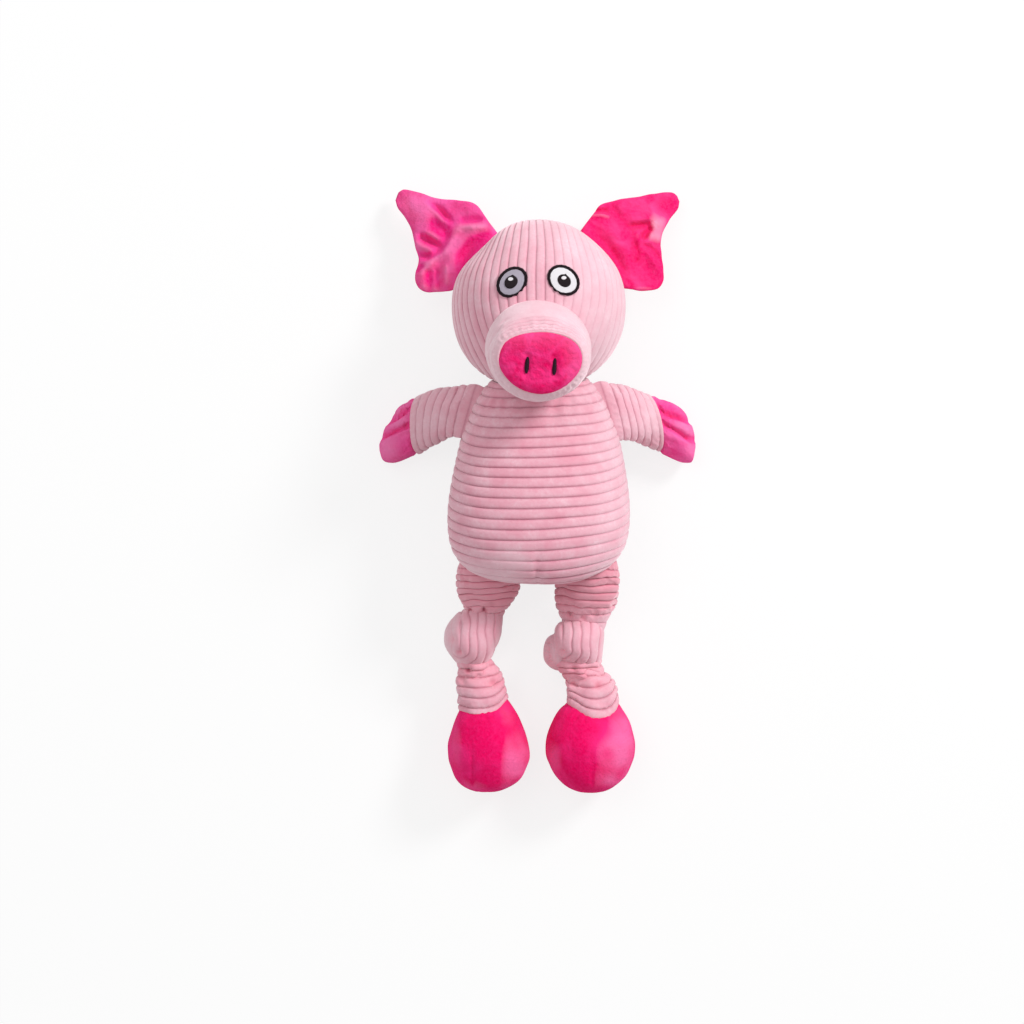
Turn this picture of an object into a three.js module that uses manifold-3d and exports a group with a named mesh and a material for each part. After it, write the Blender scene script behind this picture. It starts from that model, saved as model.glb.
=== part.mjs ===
// A stuffed toy pig, lying on its back on a table: wide-wale corduroy body, head, arms and knotted legs, with
// bright plush ears, nose, hands and feet. Millimetres. +Z is up, away from the table and out of the belly,
// +Y runs to the top of the head and +X to the pig's own left. While the pig is built, x = 0, y = 0 is the
// middle of the bottom edge of its body; at the end the whole toy is moved so that the origin is the middle
// of its footprint, on the table. Each group in the result is one part of the toy that moves by itself.
import * as THREE from "three";
import { mergeVertices } from "three/addons/utils/BufferGeometryUtils.js";
import Module from "manifold-3d";

const wasm = await Module();
wasm.setup();

const degrees = THREE.MathUtils.degToRad;

// Cloth, clearances and cuts
const CORDUROY = 1.6; // thickness of the ribbed cloth, pile included
const PLUSH = 1.8; // thickness of the bright short-pile cloth
const GAP = 0.3; // clearance between pieces that touch
const FLAT_CUT = 0.5; // how much a soft form is flattened where it lies on the table
const OVERRUN = 8; // how far a cutting shape runs past what it cuts
const WELD = 0.0001; // points of a shape that are this close are one point

// Body
const TORSO_LENGTH = 111.5;
const TORSO_HALF_WIDTH = 50.3;
const TORSO_HALF_DEPTH = 38.5;
const TORSO_SEAM_RISE = 2; // the side seam climbs this much from the bottom to the neck
const TORSO_ROUNDNESS = 2.3; // 2 is an ellipse, more is squarer
const WIDEST_SHARE = 0.35; // how far up the body is widest

// Squeaker in the belly
const SQUEAKER_RADIUS = 19;
const SQUEAKER_HALF_HEIGHT = 13;
const SQUEAKER_WALL = 1.2;
const SQUEAKER_MOUTH_RADIUS = 5;
const SLIT_RADIUS = 9; // where the filling is parted to push the squeaker in
const REED_LENGTH = 7;
const REED_FLANGE_RADIUS = 6.5;
const REED_FLANGE_THICKNESS = 1;
const REED_BORE_RADIUS = 1.5;

// Head
const HEAD_HALF_WIDTH = 47.9;
const HEAD_RADIUS = 47; // from the line between the ears to the crown, chin, face and back
const HEAD_ROUNDNESS = 2.2;
const HEAD_SINK = 6.8; // how far the head sits down into the neck of the body
const HEAD_SEAM_SETBACK = 16.5; // the seam that holds the ears is this far behind the middle of the head
const HEAD_NOD = [-30, 2];

// Snout
const SNOUT_DROP = 35.4; // the nose is this far below the middle of the head
const SNOUT_REACH = 65; // and this far in front of it
const SNOUT_LENGTH = 46; // from the front of the band to its end inside the face
const SNOUT_HALF_WIDTH = 27.5;
const SNOUT_HALF_HEIGHT = 25.2;
const SNOUT_TILT = degrees(13);
const NOSE_HALF_WIDTH = 21.9;
const NOSE_HALF_HEIGHT = 16.2;
const NOSE_BULGE = 3.2;
const NOSTRIL_SPACING = 14.6;
const NOSTRIL_HALF_LENGTH = 4.2;
const NOSTRIL_HALF_WIDTH = 1;
const NOSTRIL_HEIGHT = 1.2;
const NOSTRIL_TOP_SHARE = 0.7; // the stitches draw in this much at their top

// Eyes
const EYE_SPACING = 27.2;
const EYE_RISE = 9.4; // the eyes are this far above the middle of the head
const EYE_HALF_WIDTH = 7.9;
const EYE_HALF_HEIGHT = 8.9;
const EYE_LEAN = degrees(28);
const EYE_OUTLINE = 1.8;
const EYE_THREAD = 1; // thickness of the embroidery
const PUPIL_RADIUS = 3.6;
const GLINT_RADIUS = 1.3;

// Ears
const EAR_REACH = 58.5; // from the head to the tip
const EAR_BASE_HALF_LENGTH = 20;
const EAR_BASE_ANGLE = degrees(35.5); // from the side of the head up to the middle of the ear
const EAR_DROOP = degrees(28);
const EAR_FOLD_HEIGHT = 3;
const EAR_SWING = [-20, 60];

// Arms
const ARM_REACH = 48.4; // from the seam to the end of the hand, as the arm lies
const ARM_HALF_WIDTH = 15.5;
const ARM_HALF_DEPTH = 12.5;
const ARM_SEAM_HALF_THICKNESS = 2; // the arm is pressed flat where it is sewn in
const ARM_SEAM_SHARE = 0.836; // how far up the body the middle of the arm's seam is
const ARM_SEAM_SLANT = degrees(24); // the side of the body leans in this much at the arms
const ARM_LEAN = degrees(37.9); // the arm points this much towards the feet from square to its seam
const CUFF_SHARE = 0.57; // where the sleeve ends and the hand begins
const ARM_SWING = [-25, 80];

// Legs
const LEG_LENGTH = 117.6; // from the hip's bend to the sole, as the legs lie
const HIP_SPACING = 54.6;
const HIP_DROP = 1; // the leg bends this far below the body's bottom seam
const HIP_HALF_THICKNESS = 2; // the leg is pressed flat where it is sewn in
const HIP_SWING = [-20, 70];
const THIGH_HALF_WIDTH = 16.8;
const THIGH_HALF_DEPTH = 12.6;
const NECK_RADIUS = 9.5; // the leg is drawn in to this above the knot
const NECK_HALF_WIDTH = 11.4;
const NECK_BEND = [-30, 30];
const KNOT_HALF_WIDTH = 15.6;
const KNOT_HALF_HEIGHT = 14.6;
const KNOT_HALF_DEPTH = 19.5;
const TIE_RADIUS = 8.5; // the leg comes out under the knot drawn in to this
const TIE_HALF_WIDTH = 10.4;
const TIE_BEND = [-30, 30];
const SHIN_HALF_WIDTH = 14.2;
const SHIN_HALF_DEPTH = 12.4;
const FOOT_HALF_WIDTH = 23.4;
const FOOT_HALF_DEPTH = 22.5;
const ANKLE_RADIUS = 14;
const ANKLE_HALF_WIDTH = 15.5;
const HEM_ABOVE_ANKLE = 8.5;
const ANKLE_BEND = [-15, 15];
const LEG_MOUTH_RADIUS = 4.5; // the filling runs on through openings of this size

// How many faces a round form has
const AROUND_TORSO = 20;
const AROUND_HEAD = 20;
const AROUND_SNOUT = 16;
const AROUND_LIMB = 12;
const AROUND_EYE = 14;
const AROUND_LINING = 12;
const AROUND_LIMB_LINING = 8;
const EAR_STEPS = 7;
const BALL_RINGS = 8;

// Materials: what each cloth and thread looks like
const cloth = (color, roughness) => () => new THREE.MeshStandardMaterial({ color, roughness, metalness: 0 });
const paleCorduroy = cloth("#f0b9c6", 0.95);
const brightPlush = cloth("#f23a86", 0.9);
const filling = cloth("#f4f2ee", 1);
const whiteThread = cloth("#eceaf0", 0.6);
const blackThread = cloth("#1c1418", 0.55);
const squeakerPlastic = cloth("#f5f5f0", 0.45);

const vector = (x, y, z) => new THREE.Vector3(x, y, z);
const between = (from, to, share) => from + (to - from) * share;

// Turns a geometry into a solid that can be cut and joined
function solid(geometry) {
  const bare = geometry.clone();
  bare.deleteAttribute("normal");
  bare.deleteAttribute("uv");
  const merged = mergeVertices(bare, WELD);
  const index = Array.from(merged.index.array);
  const faces = [];
  for (let i = 0; i < index.length; i += 3) {
    const [a, b, c] = index.slice(i, i + 3);
    if (a !== b && b !== c && c !== a) faces.push([a, b, c]);
  }
  const build = (list) =>
    new wasm.Manifold(new wasm.Mesh({
      numProp: 3,
      vertProperties: merged.attributes.position.array,
      triVerts: new Uint32Array(list.flat()),
    }));
  const made = build(faces);
  return made.volume() > 0 ? made : build(faces.map(([a, b, c]) => [a, c, b]));
}

function geometryOf(made) {
  const { numProp, numVert, vertProperties, triVerts } = made.getMesh();
  const positions = new Float32Array(numVert * 3);
  for (let i = 0; i < numVert; i++) {
    positions.set(vertProperties.subarray(i * numProp, i * numProp + 3), i * 3);
  }
  const geometry = new THREE.BufferGeometry();
  geometry.setAttribute("position", new THREE.BufferAttribute(positions, 3));
  geometry.setIndex(new THREE.BufferAttribute(triVerts, 1));
  return geometry;
}

// A closed form through rings of points, each with as many points, and a fan over both ends
function skin(rings) {
  const around = rings[0].length;
  const middle = (points) => points.reduce((sum, p) => sum.add(p), vector(0, 0, 0)).divideScalar(around);
  const points = [...rings.flat(), middle(rings[0]), middle(rings.at(-1))];
  const first = rings.length * around;
  const last = first - around;
  const faces = [];
  for (let j = 0; j < around; j++) {
    const k = (j + 1) % around;
    faces.push(first, k, j, first + 1, last + j, last + k);
    for (let near = 0; near < last; near += around) {
      const far = near + around;
      faces.push(near + j, near + k, far + k, near + j, far + k, far + j);
    }
  }
  const geometry = new THREE.BufferGeometry().setFromPoints(points);
  geometry.setIndex(faces);
  return solid(geometry);
}

// One ring: a rounded section whose half sizes are the lengths of two vectors
function ring(centre, across, up, around, roundness = 2) {
  const bend = (value) => Math.sign(value) * Math.abs(value) ** (2 / roundness);
  return Array.from({ length: around }, (_, i) => {
    const angle = ((i + 0.5) / around) * 2 * Math.PI;
    const side = across.clone().multiplyScalar(bend(Math.cos(angle)));
    return side.addScaledVector(up, bend(Math.sin(angle))).add(centre);
  });
}

// A soft form along a spine of stations, each with its centre and its half sizes. Made smaller all round by
// the thickness of its cloth it is the inside of a cover. Made larger by a clearance, it cuts its neighbours.
function form(stations, around, smaller = 0, roundness = 2) {
  const shorter = (v) => v.clone().setLength(Math.max(v.length() - smaller, v.length() / around));
  const ends = [stations[0], stations.at(-1)];
  const before = [stations[1], stations.at(-2)];
  const rings = stations.map((station) => {
    const centre = station.centre.clone();
    const end = ends.indexOf(station);
    if (end >= 0) {
      const outward = station.centre.clone().sub(before[end].centre).normalize();
      centre.addScaledVector(outward, -smaller);
    }
    return ring(centre, shorter(station.across), shorter(station.up), around, roundness);
  });
  return skin(rings);
}

// The stations of a form's lining: those that keep well away from its ends, and the ends themselves
const liningOf = (stations, thickness) => stations.filter((station) =>
  [stations[0], stations.at(-1)].every((end) =>
    station === end || station.centre.distanceTo(end.centre) > 2 * (thickness + GAP)));

// A ball turned about a line along X
function ball(centre, halfWidth, radius, around, smaller = 0, roundness = 2) {
  const turns = around / 2;
  const rings = Array.from({ length: turns }, (_, i) => {
    const share = -Math.cos(((i + 0.5) / turns) * Math.PI);
    const size = (1 - Math.abs(share) ** roundness) ** (1 / roundness) * (radius - smaller);
    const middle = vector(share * (halfWidth - smaller), 0, 0).add(centre);
    return ring(middle, vector(0, size, 0), vector(0, 0, size), around);
  });
  return skin(rings);
}

// A round bar about an axis, from one point to another
function bar(from, to, radius) {
  const length = from.distanceTo(to);
  const turn = new THREE.Quaternion().setFromUnitVectors(vector(0, 1, 0), to.clone().sub(from).normalize());
  const middle = from.clone().add(to).divideScalar(2);
  const round = new THREE.CylinderGeometry(radius, radius, length, AROUND_LIMB);
  return solid(round.applyQuaternion(turn).translate(middle.x, middle.y, middle.z));
}

// Everything on one side of a plane, as a box larger than the toy
const EVERYWHERE = 4 * (TORSO_LENGTH + HEAD_RADIUS + LEG_LENGTH);
function beyond(point, direction, clearance = 0) {
  const turn = new THREE.Quaternion().setFromUnitVectors(vector(0, 0, 1), direction);
  const block = new THREE.BoxGeometry(EVERYWHERE, EVERYWHERE, EVERYWHERE);
  block.translate(0, 0, EVERYWHERE / 2 + clearance).applyQuaternion(turn);
  return solid(block.translate(point.x, point.y, point.z));
}
const down = vector(0, 0, -1);
const up = vector(0, 0, 1);
const table = vector(0, 0, 0);

// A soft form is flat where it lies on the table, and its filling is a cover's thickness above that
const onTable = (made) => made.subtract(beyond(table, down));
const insideCover = (made, thickness) => made.subtract(beyond(table, down, -(thickness + GAP)));

// Splits a cover at a seam, with a clearance between the halves
const splitAt = (made, point, direction) => [
  made.intersect(beyond(point, direction, GAP / 2)),
  made.intersect(beyond(point, direction.clone().negate(), GAP / 2)),
];

// The groups, each with the pieces that move together, and the hinge that carries it
const pig = new THREE.Group();
const groups = {};
function addGroup(name, hinge) {
  groups[name] = new THREE.Group();
  groups[name].name = name;
  groups[name].userData = hinge ?? {};
  pig.add(groups[name]);
}
function addPiece(group, name, made, material) {
  const mesh = new THREE.Mesh(geometryOf(made), material());
  mesh.name = name;
  groups[group].add(mesh);
}

// Turns a shape about a hinge, and cuts a piece back to clear what swings past it
function swung(made, hinge, angle) {
  const turn = new THREE.Matrix4().makeTranslation(hinge.at)
    .multiply(new THREE.Matrix4().makeRotationAxis(hinge.axis, degrees(angle)))
    .multiply(new THREE.Matrix4().makeTranslation(hinge.at.clone().negate()));
  return solid(geometryOf(made).applyMatrix4(turn));
}
function stops({ range: [low, high] }, steps) {
  const spread = Array.from({ length: steps + 1 }, (_, i) => between(low, high, i / steps));
  return [0, ...spread];
}
const clearOfParent = (made, hinge, parent, steps = 1) =>
  stops(hinge, steps).reduce((rest, angle) => rest.subtract(swung(parent, hinge, -angle)), made);
const clearOfChild = (made, hinge, child, steps = 1) =>
  stops(hinge, steps).reduce((rest, angle) => rest.subtract(swung(child, hinge, angle)), made);
const SWING_STEPS = 6; // a wide swing is cleared at this many steps between its stops

// A form's underside is a face of its sections, this share of the half depth from the middle
const undersideShare = (around, roundness = 2) => Math.cos(Math.PI / around) ** (2 / roundness);
const lying = (halfDepth, around, roundness) => halfDepth * undersideShare(around, roundness) - FLAT_CUT;

// Body of the toy: [share of its length, share of its half width, share of its half depth]
const TORSO_SHARES = [
  [0, 0.12, 0.1],
  [0.03, 0.5, 0.42],
  [0.08, 0.79, 0.68],
  [0.15, 0.93, 0.86],
  [0.24, 0.99, 0.96],
  [0.35, 1, 1],
  [0.47, 0.965, 0.98],
  [0.58, 0.91, 0.92],
  [0.69, 0.85, 0.83],
  [0.79, 0.78, 0.74],
  [0.89, 0.7, 0.65],
  [0.96, 0.61, 0.56],
  [1, 0.5, 0.47],
];
const seamHeight = (share) =>
  lying(TORSO_HALF_DEPTH, AROUND_TORSO, TORSO_ROUNDNESS) + TORSO_SEAM_RISE * (share - WIDEST_SHARE);
const torsoStations = TORSO_SHARES.map(([along, width, depth]) => ({
  centre: vector(0, along * TORSO_LENGTH, seamHeight(along)),
  across: vector(width * TORSO_HALF_WIDTH, 0, 0),
  up: vector(0, 0, depth * TORSO_HALF_DEPTH),
}));
const torso = (smaller, around = AROUND_TORSO) => form(torsoStations, around, smaller, TORSO_ROUNDNESS);
const torsoAndClearance = torso(-GAP);

// Half width of the body at its seam, at any share of its length
function torsoEdge(share) {
  const next = TORSO_SHARES.findIndex(([along]) => along >= share);
  const [low, high] = [TORSO_SHARES[next - 1], TORSO_SHARES[next]];
  return between(low[1], high[1], (share - low[0]) / (high[0] - low[0])) * TORSO_HALF_WIDTH;
}

// Head: it turns about the line between the ears, in a hollow in the top of the body
const headCentre = vector(0, TORSO_LENGTH - HEAD_SINK + HEAD_RADIUS, lying(HEAD_RADIUS, AROUND_HEAD));
const head = (smaller, around = AROUND_HEAD) =>
  ball(headCentre, HEAD_HALF_WIDTH, HEAD_RADIUS, around, smaller, HEAD_ROUNDNESS);
const nod = { name: "head_nod", at: headCentre, axis: vector(1, 0, 0), range: HEAD_NOD };
const turningRoom = (radius, around) => GAP + radius * (1 - Math.cos(Math.PI / around));
const headSeat = head(-turningRoom(HEAD_RADIUS, AROUND_HEAD));

function makeTorso() {
  addGroup("torso");
  const cover = onTable(torso(0).subtract(torso(CORDUROY, AROUND_LINING)).subtract(headSeat));
  const seamUp = vector(0, -TORSO_SEAM_RISE, TORSO_LENGTH).normalize();
  const [front, back] = splitAt(cover, vector(0, 0, seamHeight(0)), seamUp);
  addPiece("torso", "body_front_panel", front, paleCorduroy);
  addPiece("torso", "body_back_panel", back, paleCorduroy);

  // The squeaker is a blown bulb with its mouth towards the pig's back, and a reed in the mouth
  const centre = vector(0, WIDEST_SHARE * TORSO_LENGTH, seamHeight(WIDEST_SHARE));
  const bulbShape = (grown) => solid(new THREE.SphereGeometry(1, AROUND_LIMB, BALL_RINGS)
    .rotateX(Math.PI / 2)
    .scale(SQUEAKER_RADIUS + grown, SQUEAKER_RADIUS + grown, SQUEAKER_HALF_HEIGHT + grown)
    .translate(centre.x, centre.y, centre.z));
  const below = (distance) => centre.clone().addScaledVector(down, distance);
  const backOfPig = below(TORSO_HALF_DEPTH + OVERRUN);
  const bulb = bulbShape(0).subtract(bulbShape(-SQUEAKER_WALL))
    .subtract(bar(centre, backOfPig, SQUEAKER_MOUTH_RADIUS + GAP));
  const flangeTop = SQUEAKER_HALF_HEIGHT + GAP;
  const flangeBottom = flangeTop + REED_FLANGE_THICKNESS;
  const reed = bar(below(flangeBottom - REED_LENGTH), below(flangeBottom), SQUEAKER_MOUTH_RADIUS)
    .add(bar(below(flangeTop), below(flangeBottom), REED_FLANGE_RADIUS))
    .subtract(bar(centre, backOfPig, REED_BORE_RADIUS));
  addPiece("torso", "squeaker_bulb", bulb, squeakerPlastic);
  addPiece("torso", "squeaker_reed", reed, squeakerPlastic);

  // The filling is parted behind the squeaker, where it was pushed in
  const stuffing = insideCover(torso(CORDUROY + GAP, AROUND_LINING), CORDUROY)
    .subtract(headSeat).subtract(bulbShape(GAP)).subtract(bar(centre, backOfPig, SLIT_RADIUS));
  addPiece("torso", "body_filling", stuffing, filling);
}

// Snout: a tapered band of corduroy that ends in a bright oval nose.
// [share of the length from inside the face to the front, how far the section swells from the nose's size]
const SNOUT_SHARES = [
  [0, 0.3],
  [0.22, 0.9],
  [0.4, 1],
  [0.6, 0.92],
  [0.8, 0.62],
  [0.94, 0.26],
  [1, 0],
];
// [share of the bulge, share of the half sizes]
const NOSE_SHARES = [
  [0, 1],
  [0.45, 0.97],
  [0.8, 0.78],
  [1, 0.4],
];
const noseCentre = vector(0, -SNOUT_DROP, SNOUT_REACH).add(headCentre);
const noseForward = vector(0, -Math.sin(SNOUT_TILT), Math.cos(SNOUT_TILT));
const noseUpward = vector(0, Math.cos(SNOUT_TILT), Math.sin(SNOUT_TILT));
const snoutStation = (forward, halfWidth, halfHeight) => ({
  centre: noseCentre.clone().addScaledVector(noseForward, forward),
  across: vector(halfWidth, 0, 0),
  up: noseUpward.clone().multiplyScalar(halfHeight),
});
const snoutStations = SNOUT_SHARES.map(([along, swell]) => snoutStation(
  (along - 1) * SNOUT_LENGTH,
  between(NOSE_HALF_WIDTH, SNOUT_HALF_WIDTH, swell),
  between(NOSE_HALF_HEIGHT, SNOUT_HALF_HEIGHT, swell),
));
const noseStations = NOSE_SHARES.map(([along, size]) => snoutStation(
  GAP + along * NOSE_BULGE,
  size * NOSE_HALF_WIDTH,
  size * NOSE_HALF_HEIGHT,
));

function makeSnout() {
  const skull = head(-GAP);
  const pastFront = snoutStation(OVERRUN, NOSE_HALF_WIDTH, NOSE_HALF_HEIGHT);
  const hollow = form([...snoutStations, pastFront], AROUND_LINING, CORDUROY);
  const band = form(snoutStations, AROUND_SNOUT).subtract(hollow).subtract(skull);
  const stuffing = form(snoutStations, AROUND_LINING, CORDUROY + GAP).subtract(skull);
  addPiece("head", "snout_band", band, paleCorduroy);
  addPiece("head", "snout_disc", form(noseStations, AROUND_SNOUT), brightPlush);
  addPiece("head", "snout_filling", stuffing, filling);
  const noseAndClearance = form(noseStations, AROUND_SNOUT, -GAP);
  for (const [name, side] of [["right", -1], ["left", 1]]) {
    const spot = snoutStation(GAP + NOSE_BULGE, NOSTRIL_HALF_WIDTH, NOSTRIL_HALF_LENGTH);
    const shift = vector((side * NOSTRIL_SPACING) / 2, 0, 0);
    const place = (forward, size) => ({
      centre: spot.centre.clone().add(shift).addScaledVector(noseForward, forward),
      across: spot.across.clone().multiplyScalar(size),
      up: spot.up.clone().multiplyScalar(size),
    });
    const stitches = form([place(-NOSE_BULGE, 1), place(0, 1), place(NOSTRIL_HEIGHT, NOSTRIL_TOP_SHARE)], AROUND_LINING);
    addPiece("head", `nostril_${name}`, stitches.subtract(noseAndClearance), blackThread);
  }
}

// Eyes: satin stitches on the face, in an oval that leans outward at its top, with an outline and a pupil
function makeEye(name, side) {
  const stitches = head(-(GAP + EYE_THREAD)).subtract(head(-GAP));
  const middle = vector((side * EYE_SPACING) / 2, EYE_RISE, 0).add(headCentre);
  const oval = (halfWidth, halfHeight) => {
    const height = HEAD_RADIUS + OVERRUN;
    const shape = new THREE.CylinderGeometry(1, 1, height, AROUND_EYE).rotateX(Math.PI / 2);
    shape.scale(halfWidth, halfHeight, 1).rotateZ(side * EYE_LEAN);
    return solid(shape.translate(middle.x, middle.y, middle.z + height / 2));
  };
  const outer = oval(EYE_HALF_WIDTH, EYE_HALF_HEIGHT);
  const inner = (grown) =>
    oval(EYE_HALF_WIDTH - EYE_OUTLINE + grown, EYE_HALF_HEIGHT - EYE_OUTLINE + grown);
  const round = (radius) => oval(radius, radius);
  const piece = (part, shape, hole, material) =>
    addPiece("head", `eye_${part}_${name}`, stitches.intersect(shape).subtract(hole), material);
  piece("outline", outer, inner(GAP / 2), blackThread);
  piece("white", inner(-GAP / 2), round(PUPIL_RADIUS + GAP), whiteThread);
  piece("pupil", round(PUPIL_RADIUS), round(GLINT_RADIUS + GAP), blackThread);
  addPiece("head", `eye_glint_${name}`, stitches.intersect(round(GLINT_RADIUS)), whiteThread);
}

function makeHead() {
  addGroup("head", { ...nod, parent: "torso" });
  const cover = onTable(head(0).subtract(head(CORDUROY, AROUND_LINING)));
  const seam = headCentre.clone().addScaledVector(down, HEAD_SEAM_SETBACK);
  const [face, back] = splitAt(cover, seam, up);
  addPiece("head", "face_panel", face, paleCorduroy);
  addPiece("head", "back_of_head_panel", back, paleCorduroy);
  addPiece("head", "head_filling", insideCover(head(CORDUROY + GAP, AROUND_LINING), CORDUROY), filling);
  makeSnout();
  makeEye("right", -1);
  makeEye("left", 1);
}

// Ears: two layers of plush on one another, sewn into the seam of the head, crumpled and drooping.
// [share of the reach, the upper edge and the lower edge as shares of half the length of the seam]
const EAR_SHARES = [
  [-0.1, -0.98, 0.9],
  [0.04, -1.05, 1.02],
  [0.17, -1.16, 1.34],
  [0.3, -1.28, 1.47],
  [0.42, -1.27, 1.22],
  [0.54, -1.08, 0.8],
  [0.7, -0.83, 0.34],
  [0.85, -0.64, 0.08],
  [1, -0.44, -0.16],
];
const EAR_RIPPLES = 1.1;
const EAR_SEAT_SHARE = 0.98; // the ear's bend is at this share of the head's half width from its middle

function makeEar(name, side) {
  const outward = vector(side * Math.cos(EAR_BASE_ANGLE), Math.sin(EAR_BASE_ANGLE), 0);
  const along = vector(side * Math.sin(EAR_BASE_ANGLE), -Math.cos(EAR_BASE_ANGLE), 0);
  const at = headCentre.clone().addScaledVector(outward, EAR_SEAT_SHARE * HEAD_HALF_WIDTH)
    .addScaledVector(down, HEAD_SEAM_SETBACK);
  const axis = along.clone().multiplyScalar(side);
  const hinge = { name: `ear_${name}_swing`, at, axis, range: EAR_SWING, parent: "head" };
  addGroup(`ear_${name}`, hinge);
  const skull = head(-GAP);
  const layer = (inner, outer) => {
    const rings = EAR_SHARES.map(([reach, upper, lower]) => {
      const fade = Math.sin(Math.PI * Math.max(reach, 0));
      const edge = (height, flip) => Array.from({ length: EAR_STEPS + 1 }, (_, i) => {
        const across = (flip ? EAR_STEPS - i : i) / EAR_STEPS;
        const fold = Math.cos(2 * Math.PI * EAR_RIPPLES * (across - reach / 2));
        return at.clone().addScaledVector(outward, reach * EAR_REACH)
          .addScaledVector(along, between(upper, lower, across) * EAR_BASE_HALF_LENGTH)
          .addScaledVector(up, height + fade * fold * EAR_FOLD_HEIGHT);
      });
      return [...edge(inner, false), ...edge(outer, true)];
    });
    const drooping = swung(skin(rings), hinge, -THREE.MathUtils.radToDeg(EAR_DROOP));
    return onTable(clearOfParent(drooping, hinge, skull, SWING_STEPS));
  };
  addPiece(`ear_${name}`, `ear_front_${name}`, layer(GAP / 2, GAP / 2 + PLUSH), brightPlush);
  addPiece(`ear_${name}`, `ear_back_${name}`, layer(-GAP / 2, -GAP / 2 - PLUSH), brightPlush);
}

// Arms: a sleeve of corduroy from the seam to the cuff, and a plush hand. [share of the reach, how far the
// section has turned from the line of the seam, share of the half width, how full the section is,
// how far its middle has come down to the hand, which lies on the table]
const ARM_SHARES = [
  [-0.12, 0, 0.96, 0, 0],
  [0, 0, 1, 0.02, 0],
  [0.1, 0.08, 1, 0.35, 0.14],
  [0.22, 0.3, 0.97, 0.7, 0.38],
  [0.38, 0.6, 0.94, 0.93, 0.66],
  [0.57, 0.9, 0.97, 1, 0.88],
  [0.72, 1, 1.04, 1, 0.97],
  [0.84, 1, 1.02, 0.94, 1],
  [0.93, 1, 0.88, 0.74, 1],
  [1, 1, 0.55, 0.4, 1],
];
const ARM_LINING_START = 2; // the first stations are pressed flat and hold no filling

function makeArm(name, side) {
  const out = vector(side * Math.cos(ARM_SEAM_SLANT), Math.sin(ARM_SEAM_SLANT), 0);
  const along = vector(side * Math.sin(ARM_SEAM_SLANT), -Math.cos(ARM_SEAM_SLANT), 0);
  const clearance = GAP + ARM_SEAM_HALF_THICKNESS;
  const at = vector(side * torsoEdge(ARM_SEAM_SHARE), ARM_SEAM_SHARE * TORSO_LENGTH, seamHeight(ARM_SEAM_SHARE))
    .addScaledVector(out, clearance);
  const axis = along.clone().multiplyScalar(side);
  const hinge = { name: `arm_${name}_swing`, at, axis, range: ARM_SWING, parent: "torso" };
  addGroup(`arm_${name}`, hinge);
  const direction = out.clone().multiplyScalar(Math.cos(ARM_LEAN)).addScaledVector(along, Math.sin(ARM_LEAN));
  const square = along.clone().multiplyScalar(Math.cos(ARM_LEAN)).addScaledVector(out, -Math.sin(ARM_LEAN));
  const place = (share) => at.clone().addScaledVector(direction, share * ARM_REACH);
  const stations = ARM_SHARES.map(([reach, turn, width, full, sunk]) => ({
    centre: place(reach).setZ(between(at.z, lying(ARM_HALF_DEPTH, AROUND_LIMB), sunk)),
    across: along.clone().lerp(square, turn).setLength(width * ARM_HALF_WIDTH),
    up: vector(0, 0, between(ARM_SEAM_HALF_THICKNESS, ARM_HALF_DEPTH, full)),
  }));
  const lining = liningOf(stations.slice(ARM_LINING_START), PLUSH);
  const cover = form(stations, AROUND_LIMB).subtract(form(lining, AROUND_LIMB_LINING, PLUSH));
  const clear = onTable(clearOfParent(cover, hinge, torsoAndClearance, SWING_STEPS));
  const [hand, sleeve] = splitAt(clear, place(CUFF_SHARE), direction);
  addPiece(`arm_${name}`, `sleeve_${name}`, sleeve, paleCorduroy);
  addPiece(`arm_${name}`, `hand_${name}`, hand, brightPlush);
  const stuffing = insideCover(form(lining, AROUND_LIMB_LINING, PLUSH + GAP), PLUSH);
  addPiece(`arm_${name}`, `arm_filling_${name}`, stuffing, filling);
}

// Legs, as they lie: how far out from the hip and how far down each bend is, as shares of the leg's length
const LEG_SHARES = {
  right: {
    neck: [0.026, 0.148],
    knot: [0.077, 0.281],
    tie: [0.058, 0.433],
    hem: [0.029, 0.58],
    sole: [0, 1],
  },
  left: {
    neck: [-0.02, 0.196],
    knot: [-0.071, 0.31],
    tie: [-0.026, 0.43],
    hem: [0.025, 0.589],
    sole: [0.012, 1],
  },
};
// [share of the way from the hip to the neck, how far its middle has come down to the neck,
//  how far its width has drawn in to the neck, how full it is]
const THIGH_SHARES = [
  [-0.45, 0, 0.2, 0],
  [0, 0.02, 0.06, 0.04],
  [0.2, 0.3, 0, 0.5],
  [0.42, 0.66, 0, 0.92],
  [0.62, 0.86, 0.06, 1],
  [0.82, 0.96, 0.5, 0.9],
  [1, 1, 1, 0.75],
];
// [share of the way from the tie to the hem, how far its section has swelled to the hem's]
const SHIN_SHARES = [
  [0, 0],
  [0.22, 0.6],
  [0.45, 0.92],
  [0.75, 1],
  [1.3, 1],
];
// [share of the way from the ankle to the sole, share of the half width, share of the half depth]
const FOOT_SHARES = [
  [0, 0.66, 0.62],
  [0.16, 0.82, 0.8],
  [0.32, 0.95, 0.94],
  [0.48, 1, 1],
  [0.64, 0.97, 0.98],
  [0.8, 0.84, 0.86],
  [0.91, 0.63, 0.66],
  [0.98, 0.35, 0.38],
  [1, 0.14, 0.16],
];
const THIGH_LINING_START = 2;

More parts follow.
